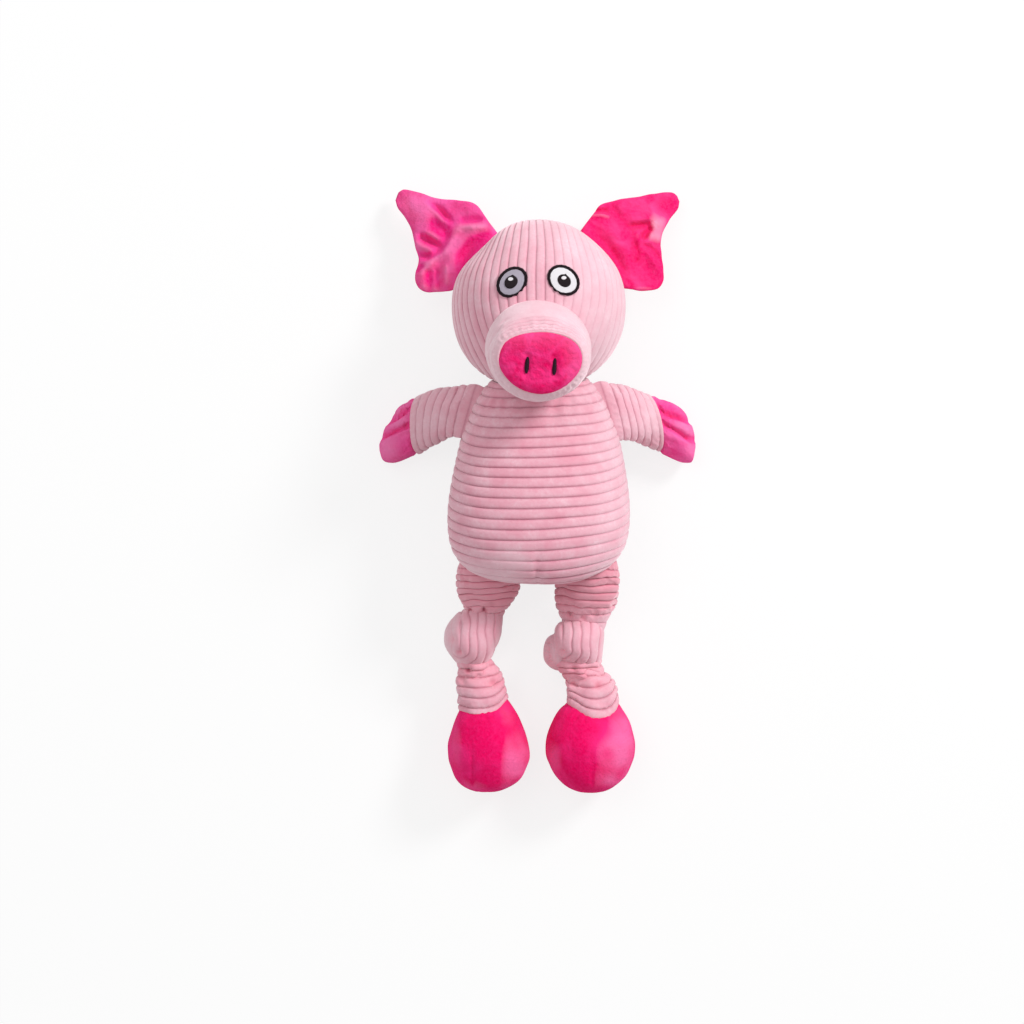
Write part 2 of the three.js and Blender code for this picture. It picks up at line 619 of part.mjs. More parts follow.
function makeLeg(name, side) {
  const shares = LEG_SHARES[name];
  const hip = vector((side * HIP_SPACING) / 2, -HIP_DROP, seamHeight(0));
  const knotHeight = KNOT_HALF_DEPTH - FLAT_CUT;
  const footHeight = lying(FOOT_HALF_DEPTH, AROUND_LIMB);
  const place = ([out, drop], height) =>
    vector(hip.x + side * out * LEG_LENGTH, hip.y - drop * LEG_LENGTH, height);
  const neck = place(shares.neck, knotHeight);
  const knotCentre = place(shares.knot, knotHeight);
  const tie = place(shares.tie, knotHeight);
  const hem = place(shares.hem, (knotHeight + footHeight) / 2);
  const ankle = hem.clone().setY(hem.y - HEM_ABOVE_ANKLE);
  const sole = place(shares.sole, footHeight);
  const axis = vector(-1, 0, 0);
  const hinge = (part, at, range, parent) => ({ name: `${part}_${name}_bend`, at, axis, range, parent });
  const hipBend = hinge("hip", hip, HIP_SWING, "torso");
  const neckBend = hinge("knee", neck, NECK_BEND, `thigh_${name}`);
  const tieBend = hinge("knot", tie, TIE_BEND, `knot_${name}`);
  const ankleBend = hinge("ankle", ankle, ANKLE_BEND, `shin_${name}`);

  const thighStations = THIGH_SHARES.map(([along, sunk, drawn, full]) => ({
    centre: vector(
      between(hip.x, neck.x, Math.max(along, 0)), between(hip.y, neck.y, along), between(hip.z, neck.z, sunk)),
    across: vector(between(THIGH_HALF_WIDTH, NECK_HALF_WIDTH, drawn), 0, 0),
    up: vector(0, 0, between(HIP_HALF_THICKNESS, THIGH_HALF_DEPTH, full)),
  }));
  thighStations.at(-1).up.setLength(NECK_RADIUS);
  const shinStations = SHIN_SHARES.map(([along, swelled]) => ({
    centre: tie.clone().lerp(hem, along),
    across: vector(between(TIE_HALF_WIDTH, SHIN_HALF_WIDTH, swelled), 0, 0),
    up: vector(0, 0, between(TIE_RADIUS, SHIN_HALF_DEPTH, swelled)),
  }));
  const footStations = FOOT_SHARES.map(([along, width, depth]) => ({
    centre: vector(between(ankle.x, sole.x, along), between(ankle.y, sole.y, along),
      between(ankle.z, sole.z, Math.min(2 * along, 1))),
    across: vector(width * FOOT_HALF_WIDTH, 0, 0),
    up: vector(0, 0, depth * FOOT_HALF_DEPTH),
  }));

  // Each length of leg ends in a ball that turns in a hollow of its neighbour, and opens there for the filling
  const turning = (stations, end, halfWidth, radius) => ({
    whole: form(stations, AROUND_LIMB).add(ball(end, halfWidth, radius, AROUND_LIMB)),
    seat: ball(end, halfWidth, radius, AROUND_LIMB, -turningRoom(radius, AROUND_LIMB)),
    past: form(stations, AROUND_LIMB, -GAP),
  });
  const thigh = turning(thighStations, neck, NECK_HALF_WIDTH, NECK_RADIUS);
  const shin = turning(shinStations, tie, TIE_HALF_WIDTH, TIE_RADIUS);
  const foot = turning(footStations, ankle, ANKLE_HALF_WIDTH, ANKLE_RADIUS);
  const mouth = (end, radius, into) => {
    const far = end.clone().setY(end.y + into * (radius + OVERRUN));
    return bar(end.clone().setY(end.y - into * LEG_MOUTH_RADIUS), far, LEG_MOUTH_RADIUS);
  };

  addGroup(`thigh_${name}`, hipBend);
  const thighLining = thighStations.slice(THIGH_LINING_START);
  const thighHollow = form(thighLining, AROUND_LIMB_LINING, CORDUROY).add(mouth(neck, NECK_RADIUS, -1));
  const thighCover = clearOfParent(thigh.whole, hipBend, torsoAndClearance, SWING_STEPS)
    .subtract(thighHollow);
  addPiece(`thigh_${name}`, `thigh_cover_${name}`, onTable(thighCover), paleCorduroy);
  const thighFilling = form(thighLining, AROUND_LIMB_LINING, CORDUROY + GAP).subtract(torsoAndClearance);
  addPiece(`thigh_${name}`, `thigh_filling_${name}`, thighFilling, filling);

  addGroup(`knot_${name}`, neckBend);
  const lump = new THREE.SphereGeometry(1, AROUND_LIMB, BALL_RINGS)
    .scale(KNOT_HALF_WIDTH, KNOT_HALF_HEIGHT, KNOT_HALF_DEPTH);
  const knot = solid(lump.translate(knotCentre.x, knotCentre.y, knotCentre.z))
    .subtract(thigh.seat).subtract(shin.seat);
  const clearKnot = clearOfChild(clearOfParent(knot, neckBend, thigh.past), tieBend, shin.past);
  addPiece(`knot_${name}`, `knot_${name}`, onTable(clearKnot), paleCorduroy);

  addGroup(`shin_${name}`, tieBend);
  const aboveHem = (made) => made.subtract(beyond(hem, vector(0, -1, 0))).subtract(foot.seat);
  const shinHollow = form(shinStations, AROUND_LIMB_LINING, CORDUROY).add(mouth(tie, TIE_RADIUS, 1));
  const shinCover = clearOfChild(aboveHem(shin.whole), ankleBend, foot.past).subtract(shinHollow);
  addPiece(`shin_${name}`, `shin_cover_${name}`, onTable(shinCover), paleCorduroy);
  const shinFilling = aboveHem(form(shinStations, AROUND_LIMB_LINING, CORDUROY + GAP));
  addPiece(`shin_${name}`, `shin_filling_${name}`, shinFilling, filling);

  addGroup(`foot_${name}`, ankleBend);
  const footLining = liningOf(footStations, PLUSH);
  const footHollow = form(footLining, AROUND_LIMB_LINING, PLUSH).add(mouth(ankle, ANKLE_RADIUS, 1));
  addPiece(`foot_${name}`, `foot_cover_${name}`, onTable(foot.whole).subtract(footHollow), brightPlush);
  const footFilling = form(footLining, AROUND_LIMB_LINING, PLUSH + GAP);
  addPiece(`foot_${name}`, `foot_filling_${name}`, insideCover(footFilling, PLUSH), filling);
}

makeTorso();
makeHead();
for (const [name, side] of [["right", -1], ["left", 1]]) {
  makeEar(name, side);
  makeArm(name, side);
  makeLeg(name, side);
}

// The origin is the middle of the footprint
const bounds = new THREE.Box3().setFromObject(pig);
const middle = bounds.getCenter(vector(0, 0, 0));
pig.position.set(-middle.x, -middle.y, -bounds.min.z);
pig.updateMatrixWorld(true);

export default pig;
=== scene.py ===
# %% [markdown]
# # A plush pig in wide-wale corduroy
# The toy lies on its back and is seen from straight above. Its body, head, sleeves and legs are pale pink
# corduroy with ribs, called wales, about 5.6 mm apart. Its ears, hands, feet and nose are bright short-pile
# plush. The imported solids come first, as a fixed frame that every new piece is fitted round.

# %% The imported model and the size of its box
import math

import bpy
import numpy as np
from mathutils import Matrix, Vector


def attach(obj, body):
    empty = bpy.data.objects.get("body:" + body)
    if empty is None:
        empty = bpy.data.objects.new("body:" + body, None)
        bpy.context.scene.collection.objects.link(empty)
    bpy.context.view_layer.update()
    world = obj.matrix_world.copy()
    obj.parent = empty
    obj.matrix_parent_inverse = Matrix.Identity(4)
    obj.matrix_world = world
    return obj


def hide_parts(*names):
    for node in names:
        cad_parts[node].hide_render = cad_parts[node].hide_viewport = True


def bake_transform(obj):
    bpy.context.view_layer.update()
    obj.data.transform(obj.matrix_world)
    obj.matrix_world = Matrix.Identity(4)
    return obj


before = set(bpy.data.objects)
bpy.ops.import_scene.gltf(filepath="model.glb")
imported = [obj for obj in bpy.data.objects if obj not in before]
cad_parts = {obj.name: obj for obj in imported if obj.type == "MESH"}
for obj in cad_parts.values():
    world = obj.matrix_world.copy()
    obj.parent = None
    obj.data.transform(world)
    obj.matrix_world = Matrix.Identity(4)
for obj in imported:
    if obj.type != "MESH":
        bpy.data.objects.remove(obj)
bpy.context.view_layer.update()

# %% [markdown]
# Lengths in this script are millimetres, as on a cutting table, and become metres where a mesh is made. The
# camera hangs 1645 mm over the table, so that 0.55 mm on the belly is one pixel of a 1024-pixel picture.

# %% Units and the camera
MM = 0.001
SIDES = (("right", -1), ("left", 1))  # the pig's own right lies at negative x, on the left of the picture
CAMERA_HEIGHT = 1645
CAMERA_AT = (-14.9, -11.525)
SEEN_WIDTH = 563.2  # what the picture spans at the height of the head's middle
SEEN_AT = 45
SENSOR = 36

camera_data = bpy.data.cameras.new("camera")
camera_data.sensor_width = SENSOR
camera_data.lens = SENSOR * (CAMERA_HEIGHT - SEEN_AT) / SEEN_WIDTH
camera = bpy.data.objects.new("camera", camera_data)
camera.location = (CAMERA_AT[0] * MM, CAMERA_AT[1] * MM, CAMERA_HEIGHT * MM)
bpy.context.scene.collection.objects.link(camera)
bpy.context.scene.camera = camera
print(f"lens {camera_data.lens:.1f} mm")

# %% [markdown]
# A soft form is worked out as a table of a few sizes along its length, like a maker's pattern. A smooth
# curve through the table gives as many sections as the mesh needs. The curve never swings past a row of the
# table, so a form gets no dents between the rows. It is then softened, so that no row shows as a corner.

# %% Smooth curves through a pattern's table
FINE = 24  # points between two rows of a table
SOFTENED = 0.4  # rows, the width of the bell that rounds off the corners


def smooth(table, at):
    """The other columns of a table at any value of its first column.

    Between two rows each column is a cubic. Its slope at a row is the harmonic mean of the rises on both
    sides, 2·a·b/(a + b), and zero where they have opposite signs. The curve is then averaged under a
    narrow bell, with its two ends kept.
    """
    table = np.asarray(table, float)
    if table[0, 0] > table[-1, 0]:
        table = table[::-1]
    rise = np.diff(table, axis=0)
    before, after = rise[:-1], rise[1:]
    agree = before * after > 0
    mean = np.where(agree, 2 * before * after / np.where(agree, before + after, 1), 0)
    slope = np.concatenate([rise[:1], mean, rise[-1:]])
    t = np.tile(np.arange(FINE) / FINE, len(rise))[:, None]
    i = np.repeat(np.arange(len(rise)), FINE)
    fine = ((1 + 2 * t) * (1 - t) ** 2 * table[i] + t * (1 - t) ** 2 * slope[i]
            + t * t * (3 - 2 * t) * table[i + 1] + t * t * (t - 1) * slope[i + 1])
    fine = np.concatenate([fine, table[-1:]])
    weight = np.exp(-(np.arange(-FINE, FINE + 1) / (SOFTENED * FINE)) ** 2)
    padded = np.concatenate([2 * fine[:1] - fine[FINE:0:-1], fine, 2 * fine[-1:] - fine[-2:-FINE - 2:-1]])
    soft = [np.convolve(column, weight / weight.sum(), "valid") for column in padded.T]
    return np.stack([np.interp(at, soft[0], column) for column in soft[1:]], -1)


def ease(value, start, end):
    """0 before start and 1 after end, with the curve 3t² - 2t³ in between."""
    t = np.clip((value - start) / (end - start), 0, 1)
    return t * t * (3 - 2 * t)


def bell(distance, width):
    """1 at no distance, falling off as exp(-(distance / width)²)."""
    return np.exp(-(distance / width) ** 2)


# %% [markdown]
# Every form is a grid of points: rows along it and columns round it. A section is a rounded oval, given by
# two vectors from its middle, across and up. With a roundness of 2 it is an ellipse, and with more it is
# squarer, as a well-filled panel is.

# %% Sections, normals and the table under the toy
def sections(centre, across, up, columns, roundness=2.0):
    """Rows of points centre + across·c + up·s, where c and s are the cosine and sine of the angle,
    each raised to 2/roundness with its sign kept."""
    angle = (np.arange(columns) + 0.5) / columns * 2 * np.pi
    bend = lambda value: np.sign(value) * np.abs(value) ** (2 / roundness)
    c, s = bend(np.cos(angle))[None, :, None], bend(np.sin(angle))[None, :, None]
    return centre[:, None] + across[:, None] * c + up[:, None] * s


def normals(points):
    """Unit vectors square to a grid that closes round its columns: the cross product of the steps along
    its rows and round its columns, turned away from the middle of each row."""
    round_it = np.roll(points, -1, 1) - np.roll(points, 1, 1)
    along = np.gradient(points, axis=0)
    n = np.cross(round_it, along)
    n /= np.maximum(np.linalg.norm(n, axis=2, keepdims=True), 1e-9)
    outward = ((points - points.mean(1, keepdims=True)) * n).sum(2).mean(1)
    return n * np.where(outward < 0, -1, 1)[:, None, None]


PRESSED = 1.2  # how softly a form goes over into the flat where it lies on the table


def lie(points):
    """Keeps a grid above the table: z becomes the mean of z and the root of z² + pressed²."""
    z = points[..., 2]
    out = points.copy()
    out[..., 2] = (z + np.sqrt(z * z + PRESSED * PRESSED)) / 2
    return out


def along_curve(points):
    """How far along a line of points each one is."""
    steps = np.linalg.norm(np.diff(points, axis=0), axis=1)
    return np.concatenate([[0], np.cumsum(steps)])


def line_distance(x, y, line):
    """The distance from each point to the nearest point of a line of straight stretches, and that
    nearest point's share of the line's length."""
    nearest, share = np.full(x.shape, 1e9), np.zeros(x.shape)
    length = along_curve(np.array(line, float))
    for k, ((ax, ay), (bx, by)) in enumerate(zip(line[:-1], line[1:])):
        dx, dy = bx - ax, by - ay
        t = np.clip(((x - ax) * dx + (y - ay) * dy) / (dx * dx + dy * dy), 0, 1)
        distance = np.hypot(x - ax - t * dx, y - ay - t * dy)
        here = (length[k] + t * (length[k + 1] - length[k])) / length[-1]
        share = np.where(distance < nearest, here, share)
        nearest = np.minimum(nearest, distance)
    return nearest, share


# %% [markdown]
# No sewn toy is even, so each form gets a slow, shallow unevenness. It is a sum of a few waves in fixed
# directions, drawn once from a seeded generator, so that the script gives the same pig at every run.

# %% Unevenness
waves = np.random.default_rng(7)
WAVES = [(waves.normal(size=3), waves.uniform(0, 2 * np.pi)) for _ in range(7)]


def uneven(points, size, amount):
    """Seven sine waves over the points, each about size long: their sum over root 7, times amount."""
    total = sum(np.sin(points @ (d / np.linalg.norm(d) * 2 * np.pi / size) * (0.8 + 0.1 * k) + p)
                for k, (d, p) in enumerate(WAVES))
    return total / len(WAVES) ** 0.5 * amount


# %% [markdown]
# Corduroy is ribbed: each wale is a rounded ridge of cut pile, and a narrow groove of bare ground cloth lies
# between two wales. The wales are real geometry here. A grid's rows are laid along the wales, with more rows
# at the grooves, where the surface turns most.

# %% Wales
WALE = 5.6  # from groove to groove, on cloth that lies flat
WALE_HEIGHT = 0.95
WALE_ROWS = np.array([0, 0.04, 0.1, 0.2, 0.35, 0.5, 0.65, 0.8, 0.9, 0.96])


def wale_rows(first, last):
    """Every count of wales from first to last at which a row is wanted, the two ends among them."""
    counts = (np.arange(math.floor(first), math.ceil(last))[:, None] + WALE_ROWS).ravel()
    return np.concatenate([[first], counts[(counts > first + 0.02) & (counts < last - 0.02)], [last]])


def wale_relief(count):
    """Height over the middle of the cloth, from -0.8 in a groove to 0.2 on a ridge: 0.2 - |2f - 1|^4
    where f is how far it is from one groove to the next."""
    across = np.abs(2 * (count - np.floor(count)) - 1)
    return 0.2 - across ** 4


# %% [markdown]
# A grid becomes a mesh of four-sided faces, closed by a fan at each end. The mesh keeps two things for its
# material: where each point of the cloth was at rest, and how many wales in it lies. A pattern that reads
# them stays on the cloth when a joint bends it.

# %% From a grid to a piece
def shell(points):
    """The corners of a grid and its faces, closed by a fan at each end. Faces are turned outwards by the
    sign of the volume, a sixth of the sum of the triple products of the corners."""
    rows, columns = points.shape[:2]
    index = np.arange(rows * columns).reshape(rows, columns)
    right = np.roll(index, -1, 1)
    quads = np.stack([index[:-1], right[:-1], right[1:], index[1:]], -1).reshape(-1, 4)
    first, last = rows * columns, rows * columns + 1
    fans = np.concatenate([
        np.stack([np.full(columns, first), right[0], index[0]], -1),
        np.stack([np.full(columns, last), index[-1], right[-1]], -1)])
    corners = np.concatenate([points.reshape(-1, 3), points[0].mean(0)[None], points[-1].mean(0)[None]]) * MM
    triangles = np.concatenate([quads[:, [0, 1, 2]], quads[:, [0, 2, 3]], fans])
    a, b, c = (corners[triangles[:, k]] for k in range(3))
    if (a * np.cross(b, c)).sum() < 0:
        quads, fans = quads[:, ::-1], fans[:, ::-1]
    return corners, quads.tolist() + fans.tolist()


def piece(name, points, material, slot, **values):
    """A closed mesh from a grid, with its material and its values for the material. Its slot is not used."""
    corners, faces = shell(points)
    mesh = bpy.data.meshes.new(name)
    mesh.from_pydata(corners, [], faces)
    mesh.polygons.foreach_set("use_smooth", np.ones(len(mesh.polygons), bool))
    mesh.attributes.new("cloth", "FLOAT_VECTOR", "POINT").data.foreach_set("vector", corners.ravel())
    for key, value in values.items():
        flat = np.broadcast_to(value, points.shape[:2]).reshape(-1)
        flat = np.concatenate([flat, [flat[0], flat[-1]]]).astype(np.float32)
        mesh.attributes.new(key, "FLOAT", "POINT").data.foreach_set("value", flat)
    mesh.materials.append(material)
    made = bpy.data.objects.new(name, mesh)
    bpy.context.scene.collection.objects.link(made)
    print(f"{name}: {points.shape[0]} rows of {points.shape[1]}, {np.ptp(corners, axis=0).round(4) / MM} mm")
    return made


# %% [markdown]
# What makes cloth look stuffed is that the filling pushes it out until the seams hold it. A cloth simulation
# does that here on a coarse copy of each form, with the rows at its seams held still, no gravity and cloth
# that is cut slightly too large, so that it puckers. Only the way that each point goes is kept. It is
# shortened to a millimetre or so, made finer, and added to the fine grid before the wales.

# %% Plumping a form with a cloth simulation
PLUMP_FRAMES = 20
PLUMP_ROWS, PLUMP_COLUMNS = 46, 60
PLUMP_STEPS = 6  # steps of the simulation in a frame


def finer(values, columns):
    """Gives a closed grid more columns: its waves round each row are kept and read more often."""
    count = values.shape[1]
    kept = np.fft.rfft(values, axis=1)[:, :count // 2]
    shift = np.exp(2j * np.pi * np.arange(kept.shape[1]) * (0.5 / columns - 0.5 / count))
    spread = np.zeros((values.shape[0], columns // 2 + 1, 3), complex)
    spread[:, :kept.shape[1]] = kept * shift[None, :, None]
    return np.fft.irfft(spread, columns, axis=1) * columns / count


def plump(form, at, columns, held, travel, pressure=4.0, looser=0.02):
    """How far each point of form(at, columns) goes when a coarse copy of it is blown up as cloth. Rows are
    held by held(at), from 0 to 1. A way w is shortened to w / root(1 + |w|²/travel²)."""
    at = np.asarray(at, float)
    length = along_curve(form(at, 8)[:, 0])
    place = np.linspace(0, length[-1], PLUMP_ROWS)
    coarse_at = np.interp(place, length, at)
    start = form(coarse_at, PLUMP_COLUMNS)
    corners, faces = shell(start)
    mesh = bpy.data.meshes.new("plumped")
    mesh.from_pydata(corners, [], faces)
    cloth = bpy.data.objects.new("plumped", mesh)
    bpy.context.scene.collection.objects.link(cloth)
    group = cloth.vertex_groups.new(name="seam")
    for row, weight in enumerate(held(coarse_at)):
        group.add(list(range(row * PLUMP_COLUMNS, (row + 1) * PLUMP_COLUMNS)), float(weight), "REPLACE")
    group.add([len(corners) - 2, len(corners) - 1], 1.0, "REPLACE")
    settings = cloth.modifiers.new("cloth", "CLOTH").settings
    settings.quality = PLUMP_STEPS
    settings.use_pressure = True
    settings.uniform_pressure_force = pressure
    settings.effector_weights.gravity = 0
    settings.shrink_min = -looser
    settings.vertex_group_mass = group.name
    for number in range(1, PLUMP_FRAMES + 1):
        bpy.context.scene.frame_set(number)
    settled = cloth.evaluated_get(bpy.context.evaluated_depsgraph_get()).data
    moved = np.empty(len(corners) * 3)
    settled.vertices.foreach_get("co", moved)
    bpy.data.objects.remove(cloth)
    bpy.data.meshes.remove(mesh)
    bpy.context.scene.frame_set(1)
    way = moved.reshape(-1, 3)[:-2].reshape(start.shape) / MM - start
    way /= np.sqrt(1 + (way ** 2).sum(-1, keepdims=True) / travel ** 2)
    rows = smooth(np.column_stack([place, way.reshape(PLUMP_ROWS, -1)]), length)
    print(f"plumped by {np.linalg.norm(way, axis=-1).mean():.2f} mm on average")
    return finer(rows.reshape(len(at), PLUMP_COLUMNS, 3), columns)


# %% [markdown]
# Colours are written as sRGB hex and turned to the linear values that Blender's shaders use. One small
# function adds a node, sets it and links it, and every finish below is built with it.

# %% Colours and nodes
def linear(code):
    """sRGB hex to linear: c/12.92 below 0.04045, and ((c + 0.055)/1.055)^2.4 above."""
    c = np.array([int(code[k:k + 2], 16) for k in (1, 3, 5)]) / 255
    return (*np.where(c <= 0.04045, c / 12.92, ((c + 0.055) / 1.055) ** 2.4), 1.0)


def add(tree, kind, sockets=None, out=0, **settings):
    """Adds a node, sets its own properties and its sockets, each to a value or another node's output,
    and returns one of its outputs."""
    made = tree.nodes.new("ShaderNode" + kind)
    for key, value in settings.items():
        setattr(made, key, value)
    for key, value in (sockets or {}).items():
        if isinstance(value, bpy.types.NodeSocket):
            tree.links.new(value, made.inputs[key])
        else:
            made.inputs[key].default_value = value
    return made.outputs[out]


def finish(name):
    """An empty material, and its node tree with nothing but the output."""
    material = bpy.data.materials.new(name)
    material.use_nodes = True
    tree = material.node_tree
    tree.nodes.clear()
    return material, tree, tree.nodes.new("ShaderNodeOutputMaterial")


# %% [markdown]
# Cotton corduroy is woven, its pile cut and brushed: a matt surface, paler on the ridges, where the tips of
# the pile catch the light, and deeper in the grooves, whose colour is partly the bare ground cloth and
# partly painted shade. The pile lies this way and that, which gives soft blotches about a centimetre wide.
# Its fibres are far finer than a pixel, so the grain is drawn coarser, at about 1.6 mm. Where the cloth is
# stretched its grooves open and grow faint, and its pale tips show more, which "faint" on the mesh says; the
# same value paints the side towards the lamp and the thighs and knots paler, as painted light. Where it is
# pinched, light goes from fold to fold and comes out redder, and the bottom of the crease is dark: both are
# painted in, as painted light and painted shade, by a value on the mesh.

# %% Finish: cotton corduroy, cut pile
def corduroy(name, pile, shade, groove):
    """Ridge colour mixed with a shade of it in blotches, and with the groove's colour, partly painted shade,
    where the wale's height falls off as |2f - 1|^6, less where the wales are faint. A crease value paints
    the redder light between folds into it, and then painted shade."""
    material, tree, output = finish(name)
    rest = add(tree, "Attribute", out="Vector", attribute_name="cloth")
    count = add(tree, "Attribute", out="Fac", attribute_name="wales")
    faint = add(tree, "Attribute", out="Fac", attribute_name="faint")
    part = add(tree, "Math", {0: count}, operation="FRACT")
    off = add(tree, "Math", {0: part, 1: 2.0, 2: -1.0}, operation="MULTIPLY_ADD")
    across = add(tree, "Math", {0: off}, operation="ABSOLUTE")
    deep = add(tree, "Math", {0: across, 1: 6.0}, operation="POWER")
    clear = add(tree, "Math", {0: faint, 1: -0.8, 2: 0.8}, operation="MULTIPLY_ADD")
    blotch = add(tree, "TexNoise", {"Vector": rest, "Scale": 95.0, "Detail": 3.0, "Roughness": 0.55})
    patchy = add(tree, "MapRange", {"Value": blotch, "From Min": 0.35, "From Max": 0.65, "To Min": 0.75})
    shown = add(tree, "Math", {0: clear, 1: patchy}, operation="MULTIPLY")
    weight = add(tree, "Math", {0: deep, 1: shown}, operation="MULTIPLY")
    soft = add(tree, "MapRange", {"Value": blotch, "From Min": 0.3, "From Max": 0.75})
    grain = add(tree, "TexNoise", {"Vector": rest, "Scale": 620.0, "Detail": 4.0, "Roughness": 0.75})
    speck = add(tree, "MapRange", {"Value": grain, "From Min": 0.35, "From Max": 0.65, "To Max": 0.55})
    body = add(tree, "Mix", {"Factor": soft, 6: linear(pile), 7: linear(shade)}, 2, data_type="RGBA")
    lit = add(tree, "Mix", {"Factor": speck, 6: body, 7: linear(shade)}, 2, data_type="RGBA")
    # the faint value paints the colour paler: stretched pile, and painted light on the side towards the lamp
    # and on the thighs and knots
    stretched_and_lit = add(tree, "Math", {0: faint, 1: 0.5}, operation="MULTIPLY")
    brushed = add(tree, "Mix", {"Factor": stretched_and_lit, 6: lit, 7: linear("#e9ced6")}, 2, data_type="RGBA")
    # the groove colour is partly the bare ground cloth and partly painted shade
    lined = add(tree, "Mix", {"Factor": weight, 6: brushed, 7: linear(groove)}, 2, data_type="RGBA")
    # painted light and shade of folds: the redder light that goes from fold to fold, then painted shade at
    # the bottom of the crease
    fold_light_and_shade = add(tree, "Attribute", out="Fac", attribute_name="crease")
    deepest = add(tree, "Math", {0: fold_light_and_shade, 1: 2.0}, operation="POWER")
    painted_fold_colour = add(tree, "Mix", {"Factor": deepest, 6: linear("#ff98ac"), 7: linear("#a03050")}, 2,
                  data_type="RGBA")
    colour = add(tree, "Mix", {"Factor": fold_light_and_shade, 6: lined, 7: painted_fold_colour}, 2, data_type="RGBA")
    sunk = add(tree, "Math", {0: weight, 1: -0.5}, operation="MULTIPLY")
    height = add(tree, "Math", {0: grain, 1: 0.45, 2: sunk}, operation="MULTIPLY_ADD")
    bump = add(tree, "Bump", {"Height": height, "Strength": 0.8, "Distance": 0.7 * MM})
    shader = add(tree, "BsdfPrincipled", {
        "Base Color": colour, "Normal": bump, "Roughness": 0.95, "Specular IOR Level": 0.25,
        "Sheen Weight": 0.85, "Sheen Roughness": 0.5, "Sheen Tint": linear("#fff0f4")})
    tree.links.new(shader, output.inputs["Surface"])
    return material


pale = corduroy("cotton_corduroy", "#ecc0cc", "#e398ab", "#ab5570")
print("cotton corduroy:", len(pale.node_tree.nodes), "nodes")

# %% [markdown]
# Velboa is a knitted polyester plush with a pile of about 2 mm. Where the pile leans towards the light it
# looks pale, and where it leans away it is deep and saturated, so brushing it by hand leaves clear patches.
# On top of that, painted sheen and painted shade are read from the mesh as one value: paler on the ears'
# ridges, on patches of the hands and feet and on the sides towards the lamp, deeper in valleys, grooves and
# turned-away places.

# %% Finish: polyester velboa plush
def velboa(name, deep, bright, rubbed, patch=60.0):
    """Deep colour mixed with a brighter one in patches a few centimetres wide with soft edges. A value on
    the mesh then paints sheen, paler towards the third colour above zero, and shade, deeper below zero."""
    material, tree, output = finish(name)
    rest = add(tree, "Attribute", out="Vector", attribute_name="cloth")
    worn = add(tree, "Attribute", out="Fac", attribute_name="rubbed")
    # painted shade where the value is below zero, and painted sheen above it at the last mix
    away = add(tree, "Math", {0: worn, 1: -1.0}, operation="MULTIPLY", use_clamp=True)
    brushed = add(tree, "TexNoise", {
        "Vector": rest, "Scale": patch, "Detail": 3.0, "Roughness": 0.5, "Distortion": 0.8})
    lean = add(tree, "MapRange", {"Value": brushed, "From Min": 0.4, "From Max": 0.62})
    tuft = add(tree, "TexNoise", {"Vector": rest, "Scale": 520.0, "Detail": 4.0, "Roughness": 0.75})
    tips = add(tree, "MapRange", {"Value": tuft, "From Min": 0.35, "From Max": 0.7, "To Max": 0.55})
    body = add(tree, "Mix", {"Factor": lean, 6: linear(deep), 7: linear(bright)}, 2, data_type="RGBA")
    with_painted_shade = add(tree, "Mix", {"Factor": away, 6: body, 7: linear(deep)}, 2, data_type="RGBA")
    fuzzy = add(tree, "Mix", {"Factor": tips, 6: with_painted_shade, 7: linear(bright)}, 2, data_type="RGBA")
    colour = add(tree, "Mix", {"Factor": worn, 6: fuzzy, 7: linear(rubbed)}, 2, data_type="RGBA")
    bump = add(tree, "Bump", {"Height": tuft, "Strength": 0.9, "Distance": 1.1 * MM})
    shader = add(tree, "BsdfPrincipled", {
        "Base Color": colour, "Normal": bump, "Roughness": 0.9, "Specular IOR Level": 0.02,
        "Sheen Weight": 0.55, "Sheen Roughness": 0.45, "Sheen Tint": linear("#ff5fa6")})
    tree.links.new(shader, output.inputs["Surface"])
    return material


foot_plush = velboa("polyester_velboa_foot", "#f2005c", "#ff2c80", "#ff78b2", 42.0)
# the ear further from the lamp gets a shaded copy of the plush and the other a lit copy: painted shade and
# painted light
ear_plush = {"right": velboa("polyester_velboa_ear_shaded", "#f4127c", "#fc52a6", "#ffa6cb"),
             "left": velboa("polyester_velboa_ear_lit", "#f00c66", "#fa4890", "#ffb0cc")}
hand_plush = velboa("polyester_velboa_hand", "#fd3f92", "#ff68b0", "#ff94c6", 75.0)
nose_plush = velboa("polyester_velboa_nose", "#f0005e", "#ff3d8c", "#ff6fa8", 110.0)
print("polyester velboa:", len(foot_plush.node_tree.nodes), "nodes")

# %% [markdown]
# Satin stitch is shiny rayon thread laid side by side, about 0.4 mm each. Its ridges are drawn at 0.55 mm so
# that they show, across the direction that the mesh's "thread" counts.

# %% Finish: rayon satin stitch
THREAD = 0.55


def satin(name, colour, dark, gloss):
    """Threads as a sine of their count, which paints shade on the colour between two threads and raises a
    bump.
    """
    material, tree, output = finish(name)
    count = add(tree, "Attribute", out="Fac", attribute_name="thread")
    turn = add(tree, "Math", {0: count, 1: 2 * math.pi}, operation="MULTIPLY")
    ridge = add(tree, "Math", {0: turn}, operation="COSINE")
    light = add(tree, "MapRange", {"Value": ridge, "From Min": -1.0, "From Max": 0.2})
    shown = add(tree, "Mix", {"Factor": light, 6: linear(dark), 7: linear(colour)}, 2, data_type="RGBA")
    bump = add(tree, "Bump", {"Height": ridge, "Strength": 0.6, "Distance": 0.15 * MM})
    shader = add(tree, "BsdfPrincipled", {
        "Base Color": shown, "Normal": bump, "Roughness": 0.5, "Specular IOR Level": gloss})
    tree.links.new(shader, output.inputs["Surface"])
    return material


white_thread = satin("rayon_thread_white", "#f1eff2", "#cfcad3", 0.4)
